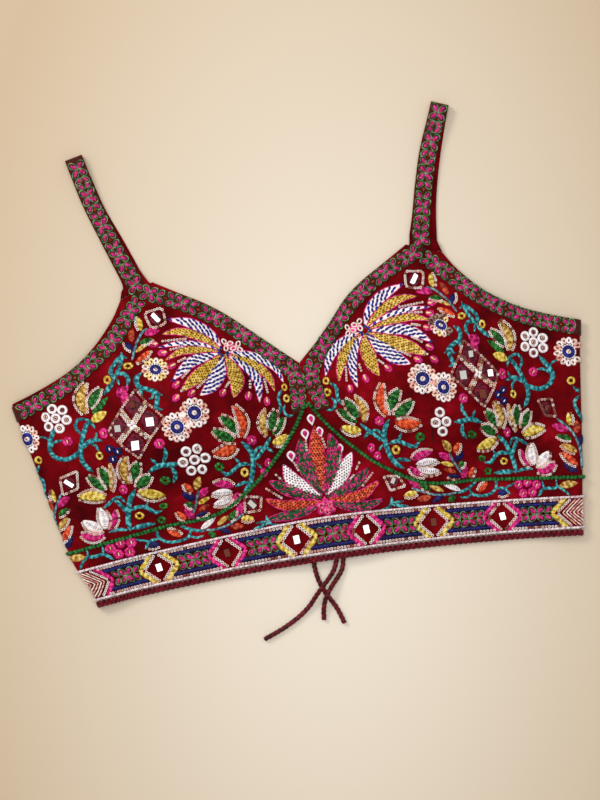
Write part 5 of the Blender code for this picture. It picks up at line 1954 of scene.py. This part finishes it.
# %% Ties
TIE_DIAMETER = 4.0
TIE_Z = TIE_DIAMETER / 2 + 0.05
TIES = {
    # x, y and, where it is lifted over another, z of each point
    "tie_left": (
        (-13, -146.9), (-12.9, -153), (-12.4, -160), (-11, -167),
        (-8.5, -174), (-5, -180.5), (-1.6, -187), (1, -194),
        (3, -201)),
    "tie_right_long": (
        (5.2, -147.1), (4.6, -152), (1.5, -159, 2.6), (-4, -165.5, 4.9),
        (-9.8, -171, 6.6), (-15.5, -177, 4.9), (-22, -184, 2.6), (-30, -190),
        (-40, -195.5), (-50, -199.8), (-60, -203.4)),
    "tie_right_short": (
        (10.2, -147.2), (9.9, -152), (8, -159), (3.5, -165.2, 2.6),
        (-1.6, -170.6, 4.8), (-6.2, -176.4, 6.6), (-9.4, -182.5, 4.8), (-11.3, -189, 2.6),
        (-12.2, -196)),
}
TIE_STEPS = 8  # sections from one of these points to the next
TIE_TWIST = 11.0  # mm for one turn of the lay
tie_silk = skein_material("dark_tie", "#580412", "#2C0208", "#7C1024")


def tie_path(route):
    """A smooth line through a tie's points, in the frame's own mm."""
    spots = np.array([(*spot, TIE_Z)[:3] for spot in route]) - (ORIGIN_X, ORIGIN_Y, 0.0)
    points = []
    for i in range(len(spots) - 1):
        before, start = spots[max(i - 1, 0)], spots[i]
        end, after = spots[i + 1], spots[min(i + 2, len(spots) - 1)]
        for k in range(TIE_STEPS):
            t = k / TIE_STEPS
            point = 0.5 * (2 * start + (end - before) * t
                           + (2 * before - 5 * start + 4 * end - after) * t * t
                           + (3 * start - before - 3 * end + after) * t ** 3)
            point[2] = max(point[2], TIE_Z)
            points.append(point)
    return np.array(points + [spots[-1]])


for name, route in TIES.items():
    path = tie_path(route)
    template = tube_template(12, len(path) - 1)
    row = np.rint(template["share"] * (len(path) - 1)).astype(int)
    run = distance_along(path)
    ahead = np.gradient(path, axis=0)
    ahead /= np.linalg.norm(ahead, axis=1, keepdims=True)
    across = np.cross(ahead, (0.0, 0.0, 1.0))
    across /= np.linalg.norm(across, axis=1, keepdims=True)
    up = np.cross(across, ahead)
    angle = template["angle"]
    lobes = TIE_DIAMETER / 2 * (0.87 + 0.13 * np.cos(3 * angle - tau * 3 * run[row] / TIE_TWIST))
    end = np.minimum(row, len(path) - 1 - row) == 0
    lobes = np.where(end, lobes * 0.8, lobes)
    points = (path[row] + across[row] * (lobes * np.cos(angle))[:, None]
              + up[row] * (lobes * np.sin(angle))[:, None])
    sew(name, template, points, 1, 0.0, run[-1])
    piece = empty_basket(name, tie_silk, "tie_cord", lambda spots: spots * MM, name)
    print(f"{name}: {run[-1]:.0f} mm long")

# %% [markdown]
# ## Last, everything is laid
# The rest of the baskets become meshes now, one for each colour, then the mirrors, whose metal
# is bright, or grey or dark as painted reflection, and the sequins.

# %% Empty the baskets
for skein in SKEINS:
    for kind in ("leaves", "vines", "rings", "stitches"):
        if f"{kind}_{skein}" in baskets:
            empty_basket(f"{kind}_{skein}", floss[skein], "embroidery_thread")
# Grey and dark metal is painted reflection: darker, as a mirror tipped away from the light would show.
for tone, colour in (("bright", "#B4B4B2"), ("grey", "#6E6C6A"), ("dark", "#3A1C16")):
    film = mirror_metal(tone, colour)
    empty_basket(f"mirrors_{tone}", film, "mirror", flat=True)
    if f"border_mirrors_{tone}" in baskets:
        empty_basket(f"border_mirrors_{tone}", film, "mirror", on_border, flat=True)
sew_sequins(sequin_spots, ("left", "right"), on_front)
sew_sequins(border_sequins, ("border",), on_border)
